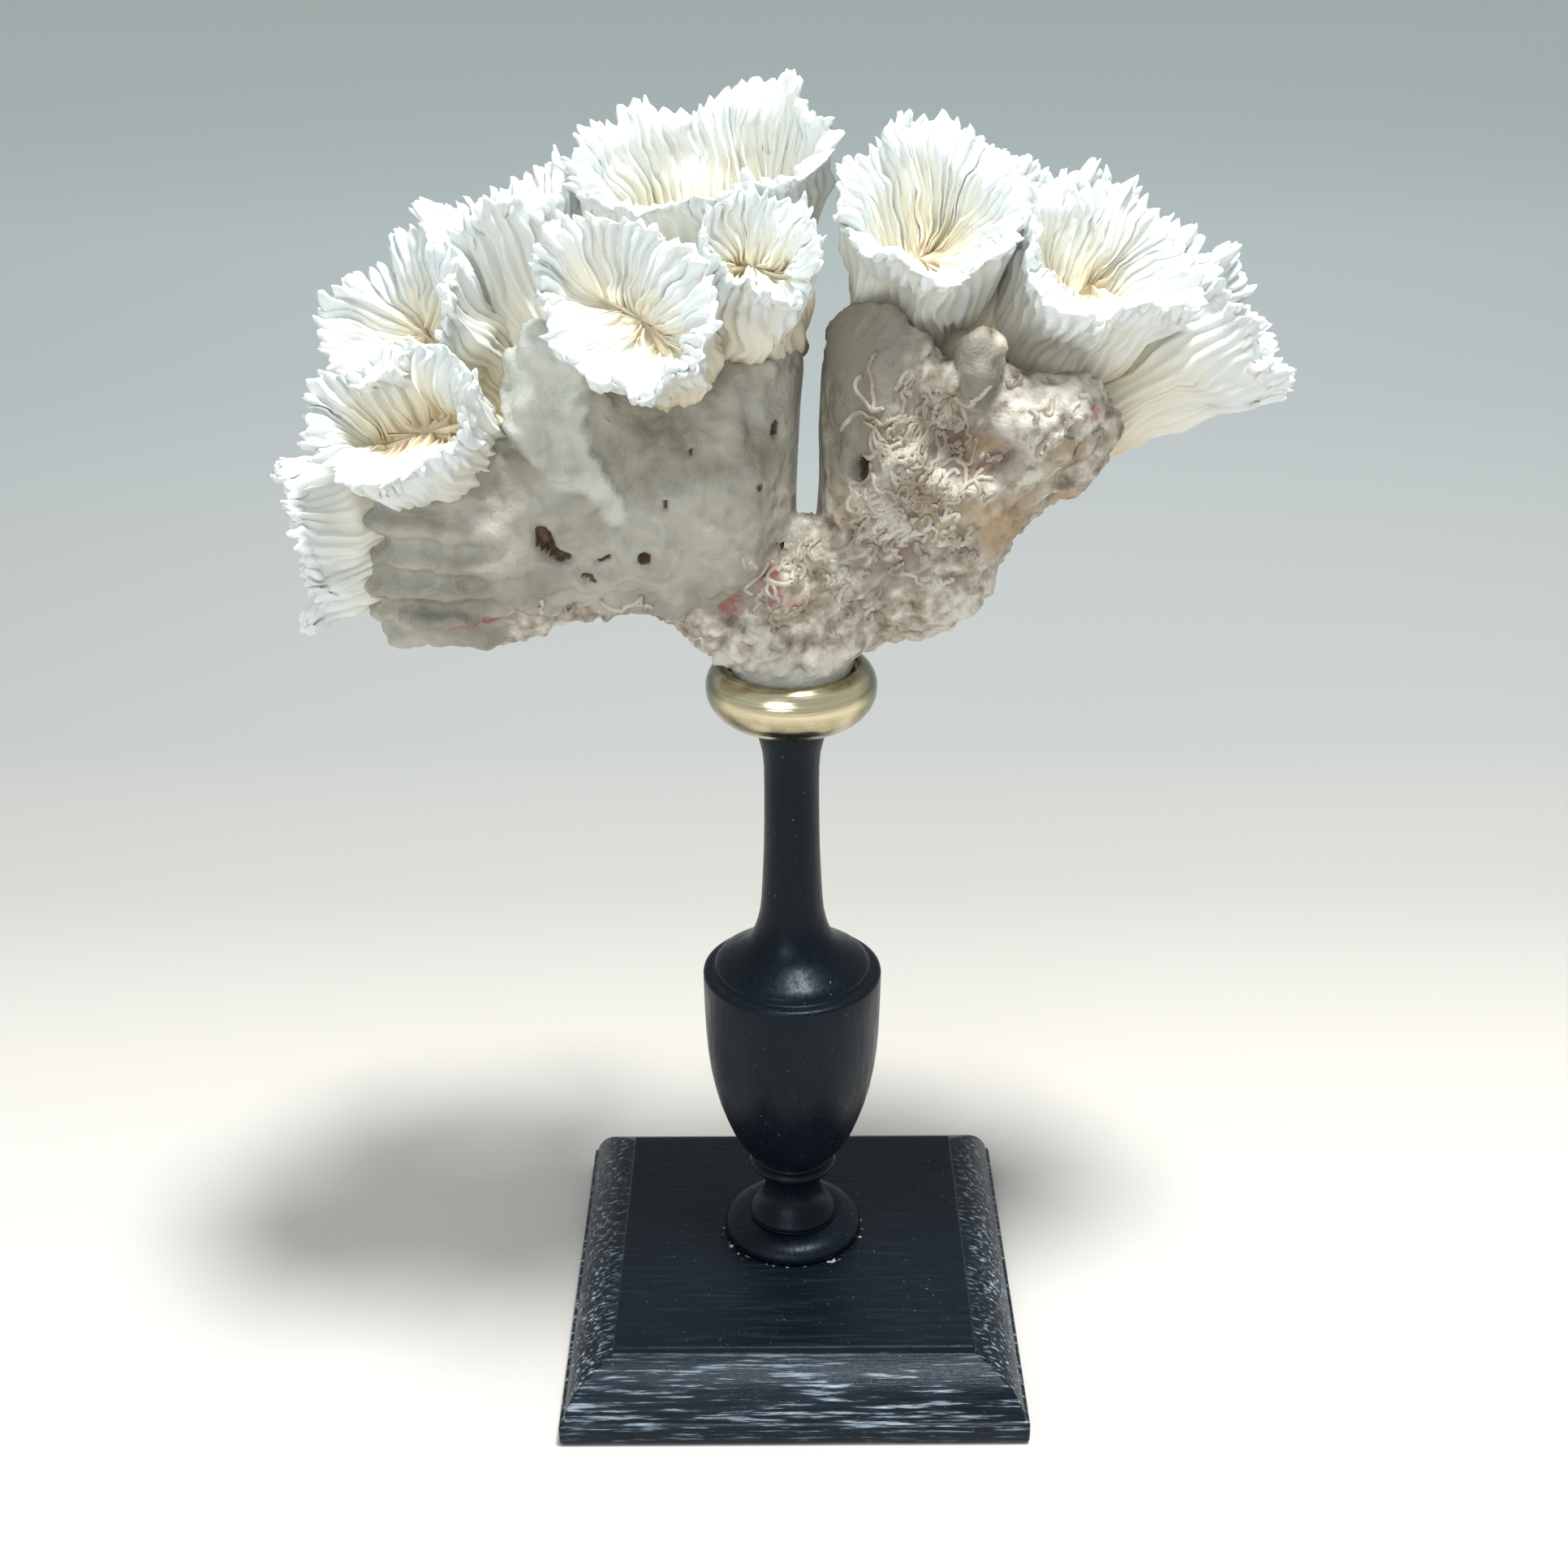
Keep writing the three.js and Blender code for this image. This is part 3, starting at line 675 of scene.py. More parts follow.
def plate(cup, kind):
    """A plate along local X, from 0 at the slit to 1 at the rim, with Z along the cup's axis."""
    tooth, thick = PLATE_KINDS[kind]
    points, faces, painted_shade_values = [], [], []
    for number, (share, crest, deep, foot_share, foot, foot_deep, half) in enumerate(PLATE_STATIONS):
        high = crest * tooth - deep * cup.depth
        low = foot - foot_deep * cup.depth
        if kind == "notched" and number in NOTCH_STATIONS:
            high -= 0.6
        if kind == "slim" and share < 0.6:
            high -= 0.7 * (0.6 - share) / 0.6 + 0.3
        # Painted shade on each plate: darker at its foot and towards the slit, stronger in the one cup with a
        # real tan stain.
        shade = 0.6 * cup.tan * max(0.0, 0.75 - share) / 0.75
        for part, wide in PLATE_ROWS:
            for side in (-1, 1):
                points.append((foot_share + (share - foot_share) * part, side * half * wide * thick * MM,
                               (low + (high - low) * part) * MM))
                painted_shade_values.append(min(0.85, (1 - part) * 0.35 + shade))
    for a in range(0, 6 * len(PLATE_STATIONS) - 6, 6):
        faces += [(a + i, a + j, a + j + 6, a + i + 6) for i, j in ((0, 2), (2, 4), (4, 5), (5, 3), (3, 1))]
    end = 6 * len(PLATE_STATIONS) - 6
    faces += [(0, 1, 3, 2), (2, 3, 5, 4), (end + 2, end + 3, end + 1, end),
              (end + 4, end + 5, end + 3, end + 2)]
    mesh = bpy.data.meshes.new(f"{cup.name}_{kind}")
    mesh.from_pydata(points, [], faces)
    face_outwards(mesh)
    store_values(mesh, "depth", painted_shade_values)
    return add_object(mesh.name, mesh)


print("plate kinds:", list(PLATE_KINDS))

# %% [markdown]
# ## The ring of plates
# The plates repeat round the rim by rule, so Geometry Nodes place them. The guide is a ring of loose points,
# and each point says which way is out, which way is up, how big its plate is and which of the shapes it
# takes. The tree puts a plate on each point, makes the copies real, rounds them with one subdivision, joins
# the wall and bends everything with two smooth noises, a slow and a fine one, so that no two are alike.


# %% Septa tree
def named(tree, name, kind):
    node = add_node(tree, "GeometryNodeInputNamedAttribute", {"Name": name}, data_type=kind)
    return node.outputs["Attribute"]


def hand_out(tree, geometry, material, out):
    """Shade the geometry smooth, give it its material and pass it to the tree's output."""
    smooth = add_node(tree, "GeometryNodeSetShadeSmooth", {"Geometry": geometry}).outputs["Geometry"]
    painted = add_node(tree, "GeometryNodeSetMaterial", {"Geometry": smooth, "Material": material})
    feed(tree, out, painted.outputs["Geometry"])


septa, given, result = new_tree(
    "ring of septa", "GeometryNodeTree",
    [("Geometry", "Geometry", None), ("Broad Plate", "Object", None), ("Notched Plate", "Object", None),
     ("Slim Plate", "Object", None), ("Wall", "Object", None), ("Bend", "Float", 0.0075),
     ("Bend Scale", "Float", 90.0), ("Ripple", "Float", 0.0018), ("Ripple Scale", "Float", 330.0),
     ("Levels", "Int", 1), ("Material", "Material", None)], [("Geometry", "Geometry")])
facing = add_node(septa, "FunctionNodeAxesToRotation", {
    "Primary Axis": named(septa, "upward", "FLOAT_VECTOR"),
    "Secondary Axis": named(septa, "outward", "FLOAT_VECTOR")}, primary_axis="Z", secondary_axis="X")
plates = add_node(septa, "GeometryNodeJoinGeometry")
for number, label in enumerate(("Broad Plate", "Notched Plate", "Slim Plate")):
    shape = add_node(septa, "GeometryNodeObjectInfo", {"Object": given[label], "As Instance": True})
    chosen = add_node(septa, "FunctionNodeCompare", {2: named(septa, "shape", "INT"), 3: number},
                      data_type="INT", operation="EQUAL")
    placed = add_node(septa, "GeometryNodeInstanceOnPoints", {
        "Points": given["Geometry"], "Selection": chosen.outputs["Result"],
        "Instance": shape.outputs["Geometry"], "Rotation": facing.outputs["Rotation"],
        "Scale": named(septa, "size", "FLOAT_VECTOR")})
    septa.links.new(placed.outputs["Instances"], plates.inputs["Geometry"])
real = add_node(septa, "GeometryNodeRealizeInstances", {"Geometry": plates.outputs["Geometry"]})
rounded_plates = add_node(septa, "GeometryNodeSubdivisionSurface", {"Mesh": real.outputs["Geometry"],
                                                                    "Level": given["Levels"]})
wall = add_node(septa, "GeometryNodeObjectInfo", {"Object": given["Wall"]})
joined = add_node(septa, "GeometryNodeJoinGeometry")
septa.links.new(rounded_plates.outputs["Mesh"], joined.inputs["Geometry"])
septa.links.new(wall.outputs["Geometry"], joined.inputs["Geometry"])
moved = joined.outputs["Geometry"]
for amount, scale in (("Bend", "Bend Scale"), ("Ripple", "Ripple Scale")):
    field = add_node(septa, "ShaderNodeTexNoise", {"Scale": given[scale], "Detail": 1.0})
    centred = add_node(septa, "ShaderNodeVectorMath", {0: field.outputs["Color"], 1: (0.5, 0.5, 0.5)},
                       operation="SUBTRACT")
    step = add_node(septa, "ShaderNodeVectorMath", {0: centred.outputs["Vector"], "Scale": given[amount]},
                    operation="SCALE")
    shift = add_node(septa, "GeometryNodeSetPosition", {"Geometry": moved, "Offset": step.outputs["Vector"]})
    moved = shift.outputs["Geometry"]
hand_out(septa, moved, given["Material"], result["Geometry"])
print("tree:", septa.name, "nodes:", len(septa.nodes))

# %% [markdown]
# ## Guides
# The guide of a cup is one loose point for each plate, at its place on the slit. Smooth noise along the rim
# makes some plates lean, thicken or stand higher, and the plates at both ends of the oval are larger, as
# petals are.


# %% Septa guides
def plate_point(cup, n, angle):
    """The place of one plate, the ways it faces, its size and its shape."""
    chance = 0.7 * noise.noise(Vector((n * 0.43, cup.number * 3.1, 0.5)))
    chance += 0.7 * noise.noise(Vector((n * 1.37, cup.number * 2.3, 4.5)))
    other = noise.noise(Vector((n * 0.61, cup.number * 5.3, 7.5)))
    offset = cup.rim_offset(angle) - cup.slit(angle)
    aside = cup.axis.cross(offset.normalized())
    origin = (cup.mouth + cup.slit(angle) + cup.axis * cup.lift(angle)) * MM
    outward = (offset.normalized() + aside * (0.10 * chance)).normalized()
    upward = (cup.axis + aside * (0.16 * other)).normalized()
    petal = 0.25 * math.cos(angle) ** 4
    size = (offset.length * MM * (1 + 0.03 * other), 1 + 0.25 * chance + petal, 1 + 0.22 * chance + petal)
    shape = 2 if n % 2 == 1 else (1 if chance > 0.1 else 0)
    return origin, outward, upward, size, shape


def septa_guide(cup):
    rows = [plate_point(cup, n, angle) for n, angle in enumerate(rim_angles(cup))]
    origins, outwards, upwards, sizes, shapes = zip(*rows)
    mesh = bpy.data.meshes.new(cup.name + "_guide")
    mesh.from_pydata(origins, [], [])
    for name, vectors in (("outward", outwards), ("size", sizes), ("upward", upwards)):
        layer = mesh.attributes.new(name, "FLOAT_VECTOR", "POINT")
        layer.data.foreach_set("vector", [value for vector in vectors for value in vector])
    mesh.attributes.new("shape", "INT", "POINT").data.foreach_set("value", shapes)
    return add_object(cup.name + "_septa", mesh)


def run_tree(item, tree, values):
    """Put a tree on an object, set its inputs by their identifiers and keep the plain mesh it makes."""
    modifier = item.modifiers.new(tree.name, "NODES")
    modifier.node_group = tree
    for socket in tree.interface.items_tree:
        if socket.item_type == "SOCKET" and socket.in_out == "INPUT" and socket.name in values:
            modifier[socket.identifier] = values[socket.name]
    return modified_copy(item)


print("points of the first guide:", len(rim_angles(cups[0])))

# %% Make the cups
for cup in cups:
    wall_shape = cup_wall(cup)
    broad, notched, slim = (plate(cup, kind) for kind in PLATE_KINDS)
    piece = run_tree(septa_guide(cup), septa, {
        "Broad Plate": broad, "Notched Plate": notched, "Slim Plate": slim, "Wall": wall_shape,
        "Material": white_coral})
    for helper in (wall_shape, broad, notched, slim):
        bpy.data.objects.remove(helper)
    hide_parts(cup.name)
    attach(piece, "root")
    piece.data.calc_loop_triangles()
    print(piece.name, "triangles:", len(piece.data.loop_triangles))

# %% [markdown]
# ## Trunk and boughs
# The boughs make a fan round the point where the coral leaves the collar, so each is described by angle and
# distance from that point. The crust is one growth over the whole colony. Joined meshes would show a crease
# where they meet, so the trunk and both boughs are lofted one by one and then fused by a voxel remesh, which
# also rounds the fork between them.

# %% Bough layout
FORK = Vector((1, 0, 148.6)) + AXIS
FORK_REACH = 21
# Each row: share of the way up, low and high angle, depth to the front and to the back.
LEFT_ROWS = [(0.0, 88, 148, 14, 14), (0.16, 89.4, 155, 18, 18), (0.36, 89.6, 162.5, 21, 22),
             (0.56, 89.2, 168.5, 22, 24), (0.76, 88.9, 173.5, 22, 25), (0.92, 88.4, 174, 19, 24),
             (1.0, 88.6, 172, 15, 19)]
RIGHT_ROWS = [(0.0, 22, 86, 14, 14), (0.18, 23, 83.2, 18, 18), (0.36, 30, 83.8, 20, 22),
              (0.56, 35, 85.2, 21, 24), (0.78, 36, 85.6, 20, 25), (0.93, 36, 85.6, 18, 23),
              (1.0, 37, 85.4, 14, 18)]
# The upper edge of the crust, as angle and distance: first seen from the front, then from the back.
LEFT_FRONT_EDGE = [(89.6, 66), (92, 64), (95.4, 62.7), (103, 62.9), (109, 63.9), (115, 65), (118, 67.8),
                   (119.6, 76), (120.8, 82), (124, 83), (129, 80), (131.8, 72), (134, 71.5), (137.5, 73.2),
                   (142, 75), (147, 79), (152.6, 84.4), (165, 80), (169, 79), (174, 77.5)]
LEFT_BACK_EDGE = [(80, 61), (90, 62), (103, 60), (112, 61), (119, 65), (125, 71), (132, 72), (139, 71),
                  (147, 74), (156, 79), (166, 80), (174, 79), (180, 78)]
RIGHT_FRONT_EDGE = [(36, 73), (39.6, 75.4), (45, 78), (50, 78.6), (55, 76), (59.4, 72.5), (62.5, 67.2),
                    (66, 67.5), (70.4, 69.5), (75, 72), (78, 73.8), (82, 73.5), (85.5, 71)]
RIGHT_BACK_EDGE = [(20, 66), (36, 70), (45, 74), (54, 73), (62, 70), (70, 67), (78, 68), (90, 66)]

def fan_point(degrees, distance, y):
    angle = math.radians(degrees)
    return FORK + Vector((distance * math.cos(angle), y, distance * math.sin(angle)))


def straight(table, at):
    """The value of a table of places and values, in straight lines from one to the next."""
    for (a, low), (b, high) in zip(table, table[1:]):
        if at <= b:
            return low + (high - low) * min(max((at - a) / (b - a), 0.0), 1.0)
    return table[-1][1]


print("left edge points:", len(LEFT_FRONT_EDGE), "right edge points:", len(RIGHT_FRONT_EDGE))


# %% Bough and trunk rings
def boxy(value, power=0.72):
    """Turn a round section into a fuller, more box-like one."""
    return math.copysign(abs(value) ** power, value)


def bough_rings(rows, front_edge, back_edge, around=110, steps=26):
    """Rings up the bough, over the lip of the crust and down into the hollow behind it."""
    plan = [(k / (steps - 1), 0.0, 1.0) for k in range(steps)]
    plan += [(1.0, 0.4, 0.93), (1.0, -0.8, 0.86), (1.0, -4.0, 0.80), (1.0, -7.0, 0.66), (1.0, -8.5, 0.40)]
    rings = []
    for share, extra, narrow in plan:
        low, high, front, back = (straight([(row[0], row[i]) for row in rows], share) for i in (1, 2, 3, 4))
        ring = []
        for k in range(around):
            phi = 2 * math.pi * k / around
            across, deep = boxy(math.cos(phi)), boxy(math.sin(phi))
            degrees = (low + high) / 2 + (high - low) / 2 * across * (0.5 + 0.5 * narrow)
            toward = min(max(-math.sin(phi) / 0.45, 0.0), 1.0)
            edge = (1 - toward) * straight(back_edge, degrees) + toward * straight(front_edge, degrees)
            distance = FORK_REACH + share * (edge - FORK_REACH) + extra
            ring.append(fan_point(degrees, distance, deep * narrow * (front if deep < 0 else back)))
        rings.append(ring)
    return rings


def trunk_rings(around=90, steps=16):
    """Rings from the round foot in the collar out to the fan where the boughs begin."""
    rings = []
    for k in range(steps):
        v = k / (steps - 1)
        ring = []
        for n in range(around):
            phi = 2 * math.pi * n / around
            foot = AXIS + Vector((11.9 * math.cos(phi), 11.9 * math.sin(phi), 148.2 + 2.6 * min(1, 12 * v)))
            reach = 31 - 9 * max(0.0, math.sin(phi))
            crown = fan_point(88 - boxy(math.cos(phi), 0.8) * 67, reach, boxy(math.sin(phi), 0.8) * 15.5)
            ring.append(foot.lerp(crown, max(0.0, v * 1.08 - 0.08)))
        rings.append(ring)
    return rings


print("rings of a bough:", len(bough_rings(LEFT_ROWS, LEFT_FRONT_EDGE, LEFT_BACK_EDGE)))

# %% Lumps
# Each lump: middle, half sizes and turn.
LUMPS = [((35, -6, 180), (4.2, 6, 4.6), 0.3), ((31, -9, 176), (4, 6, 5), 0.0),
         ((44, -8, 190), (5, 7, 3.4), -0.7), ((-64, -12, 166), (9, 7, 3.4), 0.1),
         ((-30, -14, 170), (9, 5, 3.6), 0.0), ((-14, -9, 164), (7, 6, 4), 0.4),
         ((16, -13, 170), (6, 4, 6), 0.4), ((24, -15, 184), (6, 4, 5), 0.3),
         ((0, -14, 172), (4, 3.5, 7), 0.1), ((36, -14, 203), (6, 5, 4), -0.6),
         ((26, -17, 208), (5, 3.5, 4), 0.2), ((46, -12, 206), (5, 5, 4), 0.0),
         ((32.0, -17.5, 211), (3.4, 2.6, 9.5), 0.26), ((3.2, -9, 175.5), (6, 7, 7), 0.0)]


def lump_rings(centre, size, turn):
    """A small closed egg, to be fused into the crust."""
    rings = []
    for k in range(1, 8):
        lift = math.pi * k / 8
        ring = []
        for n in range(12):
            angle = math.pi * n / 6
            way = Vector((size[0] * math.sin(lift) * math.cos(angle),
                          size[1] * math.sin(lift) * math.sin(angle), size[2] * math.cos(lift)))
            way.rotate(Matrix.Rotation(turn, 3, "Y"))
            ring.append(Vector(centre) + AXIS + way)
        rings.append(ring)
    return rings


print("lumps:", len(LUMPS))

# %% Fuse the crusted mass
VOXEL = 0.7
shells = [bough_rings(LEFT_ROWS, LEFT_FRONT_EDGE, LEFT_BACK_EDGE),
          bough_rings(RIGHT_ROWS, RIGHT_FRONT_EDGE, RIGHT_BACK_EDGE), trunk_rings()]
shells += [lump_rings(*lump) for lump in LUMPS]
points, faces = [], []
for rings in shells:
    more_points, more_faces = loft(rings)
    faces += [tuple(i + len(points) for i in face) for face in more_faces]
    points += more_points
mass = mesh_object("crusted_mass", points, faces)
fuser = mass.modifiers.new("fuse", "REMESH")
fuser.mode = "VOXEL"
fuser.voxel_size = VOXEL * MM
softener = mass.modifiers.new("soften", "SMOOTH")
softener.factor = 0.5
softener.iterations = 6
modified_copy(mass)
print("crusted mass faces:", len(mass.data.polygons))

# %% [markdown]
# ## The relief of the crust
# The left bough is covered by a smooth growth with soft lumps, low ribs at its tip, one paler plate and a few
# holes. The right bough and the trunk are knobbly and eaten by worms. A displacement in the material would be
# lost in the mesh, so each point is moved along its normal by smooth noises and by short lists of holes and
# steps. The same numbers give masks for colour, kept as values on the points.

# %% Holes and pink growths
# Each hole: x, z, half width, half height, turn (degrees), depth.
HOLES = [(-43.8, 181.4, 1.6, 2.9, 22, 2.4), (-41.6, 178.9, 2.3, 1.3, -8, 2.2),
         (-26.1, 178.6, 1.1, 0.9, 0, 2.6), (-2.2, 200.1, 0.9, 1.3, 0, 2.4), (12.0, 193.5, 1.7, 2.3, -15, 5.5),
         (47.4, 211.0, 1.5, 1.1, 0, 2.6), (-17.2, 197.6, 0.5, 0.7, 0, 1.5), (-22.0, 189.0, 0.5, 0.5, 0, 1.5),
         (-5.5, 190.4, 0.6, 0.5, 0, 1.4), (-33.5, 177.6, 1.2, 0.5, 20, 1.6),
         (-36.5, 174.0, 1.4, 0.6, -30, 1.6)]
# Each pink growth: x, z, half width, half height, strength.
PINKS = [(-58, 163.8, 10, 1.8, 1.0), (-50, 167.0, 6, 1.4, 0.7), (-66, 163.2, 4, 1.4, 0.5),
         (-11, 166.5, 3.5, 3.5, 0.9), (-4, 171.5, 3.5, 5.5, 1.0), (1, 169, 2.6, 4, 0.8),
         (43.5, 189.2, 3, 3, 0.8), (52, 203.5, 2.6, 2.4, 0.8), (36.5, 178.5, 2.4, 3, 0.5),
         (32, 197, 6, 4, 0.35), (-30, 169, 4, 1.6, 0.4)]


def patch(x, z, cx, cz, wide, high, turn=0.0):
    """1 in the middle of an oval patch, falling to 0 outside it."""
    angle = math.radians(turn)
    u = ((x - cx) * math.cos(angle) + (z - cz) * math.sin(angle)) / wide
    v = (-(x - cx) * math.sin(angle) + (z - cz) * math.cos(angle)) / high
    return math.exp(-((u * u + v * v) ** 2) * 0.7)


def band(value, start, end):
    """0 up to the start, 1 from the end on, and smooth between them."""
    share = min(max((value - start) / (end - start), 0.0), 1.0)
    return share * share * (3 - 2 * share)


def n3(p, scale, seed=0.0):
    return noise.noise(Vector((p.x * scale + seed, p.y * scale, p.z * scale)))


print("holes:", len(HOLES), "pink growths:", len(PINKS))


# %% Parts of the relief
def rough_share(p, front):
    """How rough the crust is, and how far the point lies on a calm grey slab beside the slit."""
    rough = band(p.x + 0.25 * (178 - p.z) + 5 * n3(p, 0.12, 3), -8, 6)
    rough = max(rough, band(169 - p.z + 3 * n3(p, 0.2, 9), 0, 5) * (1 - band(-p.x, 48, 60)))
    calm = max(patch(p.x, p.z, 12, 207, 9, 17, -8), patch(p.x, p.z, 32, 212, 4, 9, 15)) * front
    return rough * (1 - 0.75 * calm), calm


def knobs(p):
    """The knobs, ridges and pits of the worm-eaten crust."""
    climb, across = 0.7 * p.x + 0.7 * p.z, 0.7 * p.z - 0.7 * p.x
    ridges = noise.noise(Vector((climb * 0.11, p.y * 0.2, across * 0.42)))
    return 4.0 * n3(p, 0.08, 11) - 2.4 * abs(ridges) + 0.8 * n3(p, 0.4, 23) + 0.4 * n3(p, 0.9, 59)


def ribs_and_step(p, front):
    """The ribs at the left tip, the flutes below the middle cups and the step in the growth."""
    x, z = p.x, p.z
    ribs = band(-x, 46, 62) * (1 - band(-x, 78, 86))
    move = ribs * 1.2 * math.sin((z - 0.06 * x + 1.5 * n3(p, 0.06, 31)) * 1.05)
    flutes = band(x, -40, -30) * (1 - band(x, -4, 2)) * band(z, 190, 203)
    move += flutes * 0.45 * math.sin((x + 0.15 * z + 3 * n3(p, 0.05, 37)) * 0.95)
    step = band(x + 0.45 * (z - 200) + 4.0 * n3(p, 0.18, 41) + 1.5 * n3(p, 0.5, 67), -27.6, -25.6)
    return move - front * 0.75 * step * (1 - band(x, -22, -12)) * band(z, 188, 196)


def new_plate(p, front, rough):
    """The paler plate of new growth with its ragged edge."""
    plate = band(-(p.x + 0.3 * (p.z - 205)) + 5.0 * n3(p, 0.13, 43) + 1.6 * n3(p, 0.45, 71), 33, 35.0)
    return plate * band(p.z + 0.5 * p.x + 5.0 * n3(p, 0.14, 73), 170, 173) * front * (1 - rough)


def lip(p, front):
    """The lip that stands up along the upper edge of the crust."""
    dx, dz = p.x - FORK.x, p.z - FORK.z
    angle = math.degrees(math.atan2(dz, dx))
    edge = straight(RIGHT_FRONT_EDGE if angle < 87 else LEFT_FRONT_EDGE, angle)
    return front * (0.9 + 1.4 * n3(p, 0.3, 61)) * band(math.hypot(dx, dz) - edge, -4.5, -1.2)


print("relief at the fork:", round(knobs(FORK), 3))


# %% Relief of a point
def crust_relief(p, normal):
    """The move along the normal (mm) and the masks for colour at a point."""
    x, z = p.x, p.z
    front = band(-normal.y, -0.1, 0.5)
    rough, calm = rough_share(p, front)
    knobbly = knobs(p)
    move = 1.6 * n3(p, 0.085) + 0.55 * n3(p, 0.24, 5) + rough * knobbly
    move += (1 - rough) * (1.9 * n3(p, 0.15, 33) + 1.3 * abs(n3(p, 0.28, 29)) + 0.35 * n3(p, 0.75, 39))
    plate = new_plate(p, front, rough)
    move += ribs_and_step(p, front) + plate * (0.75 + 1.1 * n3(p, 0.3, 47)) + lip(p, front)
    # The hole mask sets painted shade: near black-brown where the crust is pitted in.
    hole = 0.0
    if front > 0:
        for cx, cz, wide, high, turn, deep in HOLES:
            amount = patch(x, z, cx, cz, wide, high, turn) * front
            move -= deep * amount
            hole = max(hole, band(amount, 0.3, 0.6))
    pink = max(strength * patch(x, z, cx, cz, wide, high) for cx, cz, wide, high, strength in PINKS)
    plaster = 1 - band(z + 3.0 * n3(p, 0.3, 53), 152, 158)
    move *= 0.15 + 0.85 * band(z, 149.5, 153)
    move += plaster * 0.6 * math.sin(13 * math.atan2(p.y, x) + 3 * n3(p, 0.2, 83)) * band(z, 150, 153)
    inside_slit = band(abs(normal.x), 0.2, 0.6) * band(z, 172, 178) * (1 - band(abs(x - 4), 7, 12))
    move -= inside_slit * max(0.0, move + 0.2)
    hollow = patch(x, z, 31, 197.5, 10, 5, -15) * front
    # This share, stronger higher up on the rough crust, sets both the painted shade in low spots and a real
    # tan stain.
    rough_shade_and_stain = rough * (0.3 + 0.7 * band(z, 163, 185))
    return move - 3.0 * hollow, {
        "rough": rough, "hole": hole, "pink": pink, "plaster": plaster, "plate": plate, "grey": calm,
        # Painted light on the knob tops; painted shade in the low spots and in the hollow.
        "raised": rough * band(knobbly, 0.0, 1.2),
        "sunk": max(rough_shade_and_stain * band(-knobbly, 0.7, 2.4), 0.95 * hollow),
        "tan": max(patch(x, z, 39, 183, 7, 7) * front, 0.8 * rough_shade_and_stain * band(n3(p, 0.11, 91), 0.1, 0.4))}


# %% Move the crust
moves, all_masks = [], []
for vertex in mass.data.vertices:
    move, point_masks = crust_relief(vertex.co / MM - AXIS, vertex.normal)
    moves.extend(vertex.co + vertex.normal * (move * MM))
    all_masks.append(point_masks)
mass.data.vertices.foreach_set("co", moves)
for name in all_masks[0]:
    store_values(mass.data, name, [point_masks[name] for point_masks in all_masks])
mass.data.update()
surface = BVHTree.FromObject(mass, bpy.context.evaluated_depsgraph_get())
print("relief: points moved", len(all_masks), "masks:", list(all_masks[0]))

# %% [markdown]
# ## Two halves
# The colony splits at its fork, so the mass is cut there into a left and a right half. Each cut is closed
# with a face, and the seam is kept sharp, so that the halves meet with no visible line.

# %% Cut at the fork
SEAM_X = 3.4


def half_of(whole, name, keep_left, material):
    work = bmesh.new()
    work.from_mesh(whole.data)
    cut = bmesh.ops.bisect_plane(work, geom=work.verts[:] + work.edges[:] + work.faces[:],
                                 plane_co=Vector((SEAM_X, 0, 0)) * MM, plane_no=(1, 0, 0),
                                 clear_outer=keep_left, clear_inner=not keep_left)
    seam = [item for item in cut["geom_cut"] if isinstance(item, bmesh.types.BMEdge)]
    bmesh.ops.holes_fill(work, edges=seam, sides=0)
    for edge in seam:
        if edge.is_valid:
            edge.smooth = False
    bmesh.ops.triangulate(work, faces=[face for face in work.faces if len(face.verts) > 4])
    mesh = bpy.data.meshes.new(name)
    work.to_mesh(mesh)
    work.free()
    mesh.shade_smooth()
    mesh.materials.append(material)
    return add_object(name, mesh)


left_crust = half_of(mass, "crust_left", True, crust)
right_crust = half_of(mass, "crust_right", False, worm_crust)
bpy.data.objects.remove(mass)
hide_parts("coral_left_bough", "coral_trunk")
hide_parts("coral_right_bough")
for item in (left_crust, right_crust):
    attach(item, "root")
    print(item.name, "faces:", len(item.data.polygons))

# %% [markdown]
# ## Worm tubes
# Small limy worm tubes crawl over the right bough. Modelling them one by one would be slow, so each is only a
# path, and Geometry Nodes sweep a round section along it, as wide as the value on each point says. A tube
# starts narrow and widens a little as the worm grows.

# %% Worm tube tree
worm_tree, given, result = new_tree(
    "worm tubes", "GeometryNodeTree",
    [("Geometry", "Geometry", None), ("Radius", "Float", 0.0005), ("Sides", "Int", 6),
     ("Material", "Material", None)], [("Geometry", "Geometry")])
lines = add_node(worm_tree, "GeometryNodeMeshToCurve", {"Mesh": given["Geometry"]})
paths = add_node(worm_tree, "GeometryNodeSetCurveRadius", {"Curve": lines.outputs["Curve"],
                                                           "Radius": named(worm_tree, "width", "FLOAT")})
section = add_node(worm_tree, "GeometryNodeCurvePrimitiveCircle", {"Resolution": given["Sides"],
                                                                  "Radius": given["Radius"]})
tube = add_node(worm_tree, "GeometryNodeCurveToMesh", {
    "Curve": paths.outputs["Curve"], "Profile Curve": section.outputs["Curve"], "Fill Caps": True})
real = add_node(worm_tree, "GeometryNodeRealizeInstances", {"Geometry": tube.outputs["Mesh"]})
hand_out(worm_tree, real.outputs["Geometry"], given["Material"], result["Geometry"])
print("tree:", worm_tree.name, "nodes:", len(worm_tree.nodes))

# %% [markdown]
# ## Worm paths
# The worms settled in nests. A path starts at a chance point of its nest, steps along the surface and curls
# as it goes, and after each step it is put back on the crust. The chance is seeded, so it is the same on
# every run.

# %% Worm paths
WORM_SEED = 7
WORM_STEP = 0.6
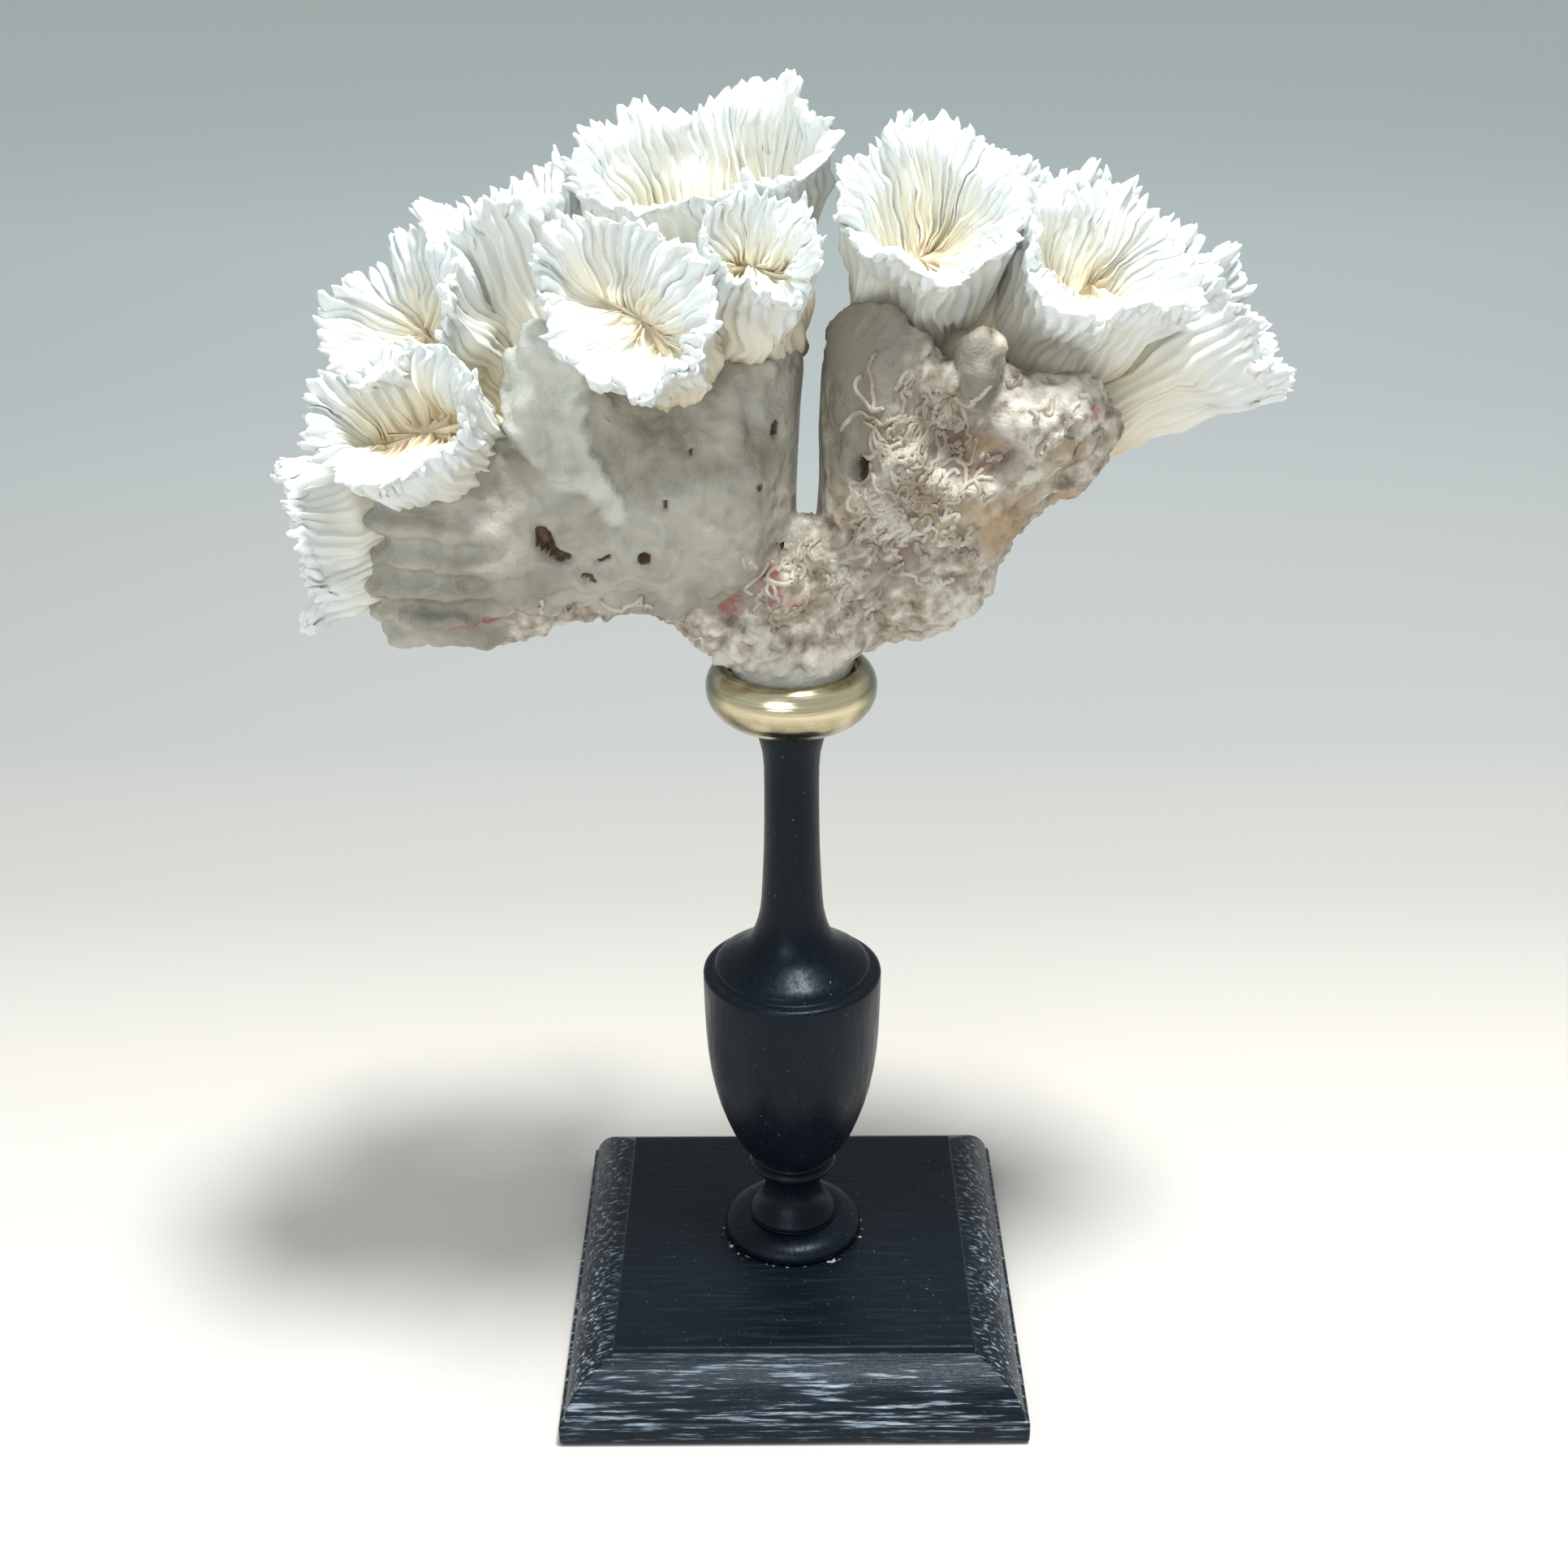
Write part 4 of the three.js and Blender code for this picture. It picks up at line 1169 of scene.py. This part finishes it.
# Each nest: middle x and z, half width and height, number of worms, steps of each.
NESTS = [(22, 202, 7, 6, 46, 18), (24, 194, 7, 5, 40, 16), (20, 186, 9, 6, 36, 16), (24, 176, 9, 9, 16, 14),
         (44, 206, 9, 6, 8, 12), (8, 169, 8, 8, 16, 14), (40, 196, 7, 6, 8, 12), (-3, 171, 4, 5, 14, 14),
         (-34, 168, 12, 3, 8, 12)]


def on_front(x, z):
    """The point of the crust that is seen from the front at x and z, and its normal."""
    return surface.ray_cast((Vector((x, -60, z)) + AXIS) * MM, Vector((0, 1, 0)))[:2]


def worm_path(chance, cx, cz, wide, high, steps):
    hit, normal = on_front(cx + wide * chance.uniform(-1, 1), cz + high * chance.uniform(-1, 1))
    if hit is None:
        return []
    heading = chance.uniform(0, 2 * math.pi)
    curl = chance.uniform(-0.35, 0.35)
    path = []
    for _ in range(steps):
        side = Vector((0, 1, 0)).cross(normal).normalized()
        up = normal.cross(side)
        ahead = side * math.cos(heading) + up * math.sin(heading)
        hit, normal, _, _ = surface.find_nearest(hit + ahead * (WORM_STEP * MM))
        curl = 0.92 * (curl + chance.uniform(-0.22, 0.22))
        heading += curl
        path.append(hit + normal * (0.02 * MM))
    return path


worms = random.Random(WORM_SEED)
worm_paths = [worm_path(worms, cx, cz, wide, high, steps + worms.randrange(-5, 6))
              for cx, cz, wide, high, count, steps in NESTS for _ in range(count)]
worm_paths = [path for path in worm_paths if len(path) > 2]
print("worms:", len(worm_paths))

# %% Worm tubes
points, edges, widths = [], [], []
for path in worm_paths:
    size = worms.uniform(0.36, 0.68)
    edges += [(len(points) + k, len(points) + k + 1) for k in range(len(path) - 1)]
    points += path
    widths += [size * (0.75 + 0.25 * k / len(path)) for k in range(len(path))]
mesh = bpy.data.meshes.new("worm_tubes")
mesh.from_pydata(points, edges, [])
store_values(mesh, "width", widths)
worm_tubes = run_tree(add_object("worm_tubes", mesh), worm_tree, {"Material": worm_lime})
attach(worm_tubes, "root")
print("worm tube faces:", len(worm_tubes.data.polygons))

# %% [markdown]
# ## The floor
# A pale floor runs back and rises in a wide curve into a soft grey-blue wall, so that no edge shows behind
# the coral. It is warm and light near the stand and cooler and darker farther back.

# %% Floor
floor_finish, tree, shader = new_material("pale floor", Roughness=1.0, Specular_IOR_Level=0.0)
place = add_node(tree, "ShaderNodeTexCoord").outputs["Object"]
parts = add_node(tree, "ShaderNodeSeparateXYZ", {"Vector": place}).outputs
back = maths(tree, "MULTIPLY", parts["Y"], 1 / 3.0)
FLOOR_TONES = [(0.0, (0.70, 0.67, 0.64)), (0.032, (0.64, 0.61, 0.575)), (0.062, (0.51, 0.495, 0.47)),
               (0.10, (0.455, 0.46, 0.45)), (0.244, (0.495, 0.525, 0.535)), (0.40, (0.60, 0.66, 0.66)),
               (0.85, (0.71, 0.78, 0.76))]
feed(tree, shader.inputs["Base Color"], ramp(tree, back, FLOOR_TONES))
# Each row of the sweep: distance back and height (mm).
SWEEP = [(-1500, 0), (-600, 0), (0, 0), (600, 0), (1200, 0), (1800, 0), (2400, 0), (3000, 0), (3300, 40),
         (3560, 150), (3760, 340), (3880, 600), (3920, 900), (3920, 2200)]
points = [Vector((x, y, z)) for y, z in SWEEP for x in (-3500, 3500)]
faces = [(2 * k, 2 * k + 1, 2 * k + 3, 2 * k + 2) for k in range(len(SWEEP) - 1)]
floor = mesh_object("floor_sweep", points, faces, floor_finish)
print("floor sweep points:", len(points))

# %% [markdown]
# ## Light
# A small disc overhead gives the soft shadow round the stand, and a large one in front, like a window, shows
# the relief of the crust. The sky fills the rest. The plain view transform keeps the white coral white.


# %% Lights
def soft_light(name, place, aim, size, power, colour):
    lamp = bpy.data.lights.new(name, "AREA")
    lamp.shape = "DISK"
    lamp.size = size
    lamp.energy = power
    lamp.color = colour
    item = add_object(name, lamp)
    item.location = place
    item.rotation_euler = (Vector(aim) - Vector(place)).to_track_quat("-Z", "Y").to_euler()


soft_light("overhead", (0.16, -0.14, 1.25), (0, 0, 0.1), 0.24, 17.0, (0.98, 1, 0.985))
soft_light("window", (-0.4, -1.3, 0.75), (0, 0, 0.18), 0.9, 5.5, (0.95, 1, 1))
world = bpy.data.worlds.new("soft sky")
bpy.context.scene.world = world
world.use_nodes = True
world.node_tree.nodes["Background"].inputs["Color"].default_value = (0.94, 0.985, 1.0, 1)
world.node_tree.nodes["Background"].inputs["Strength"].default_value = 0.53
bpy.context.scene.view_settings.view_transform = "Standard"
print("lights:", len(bpy.data.lights))
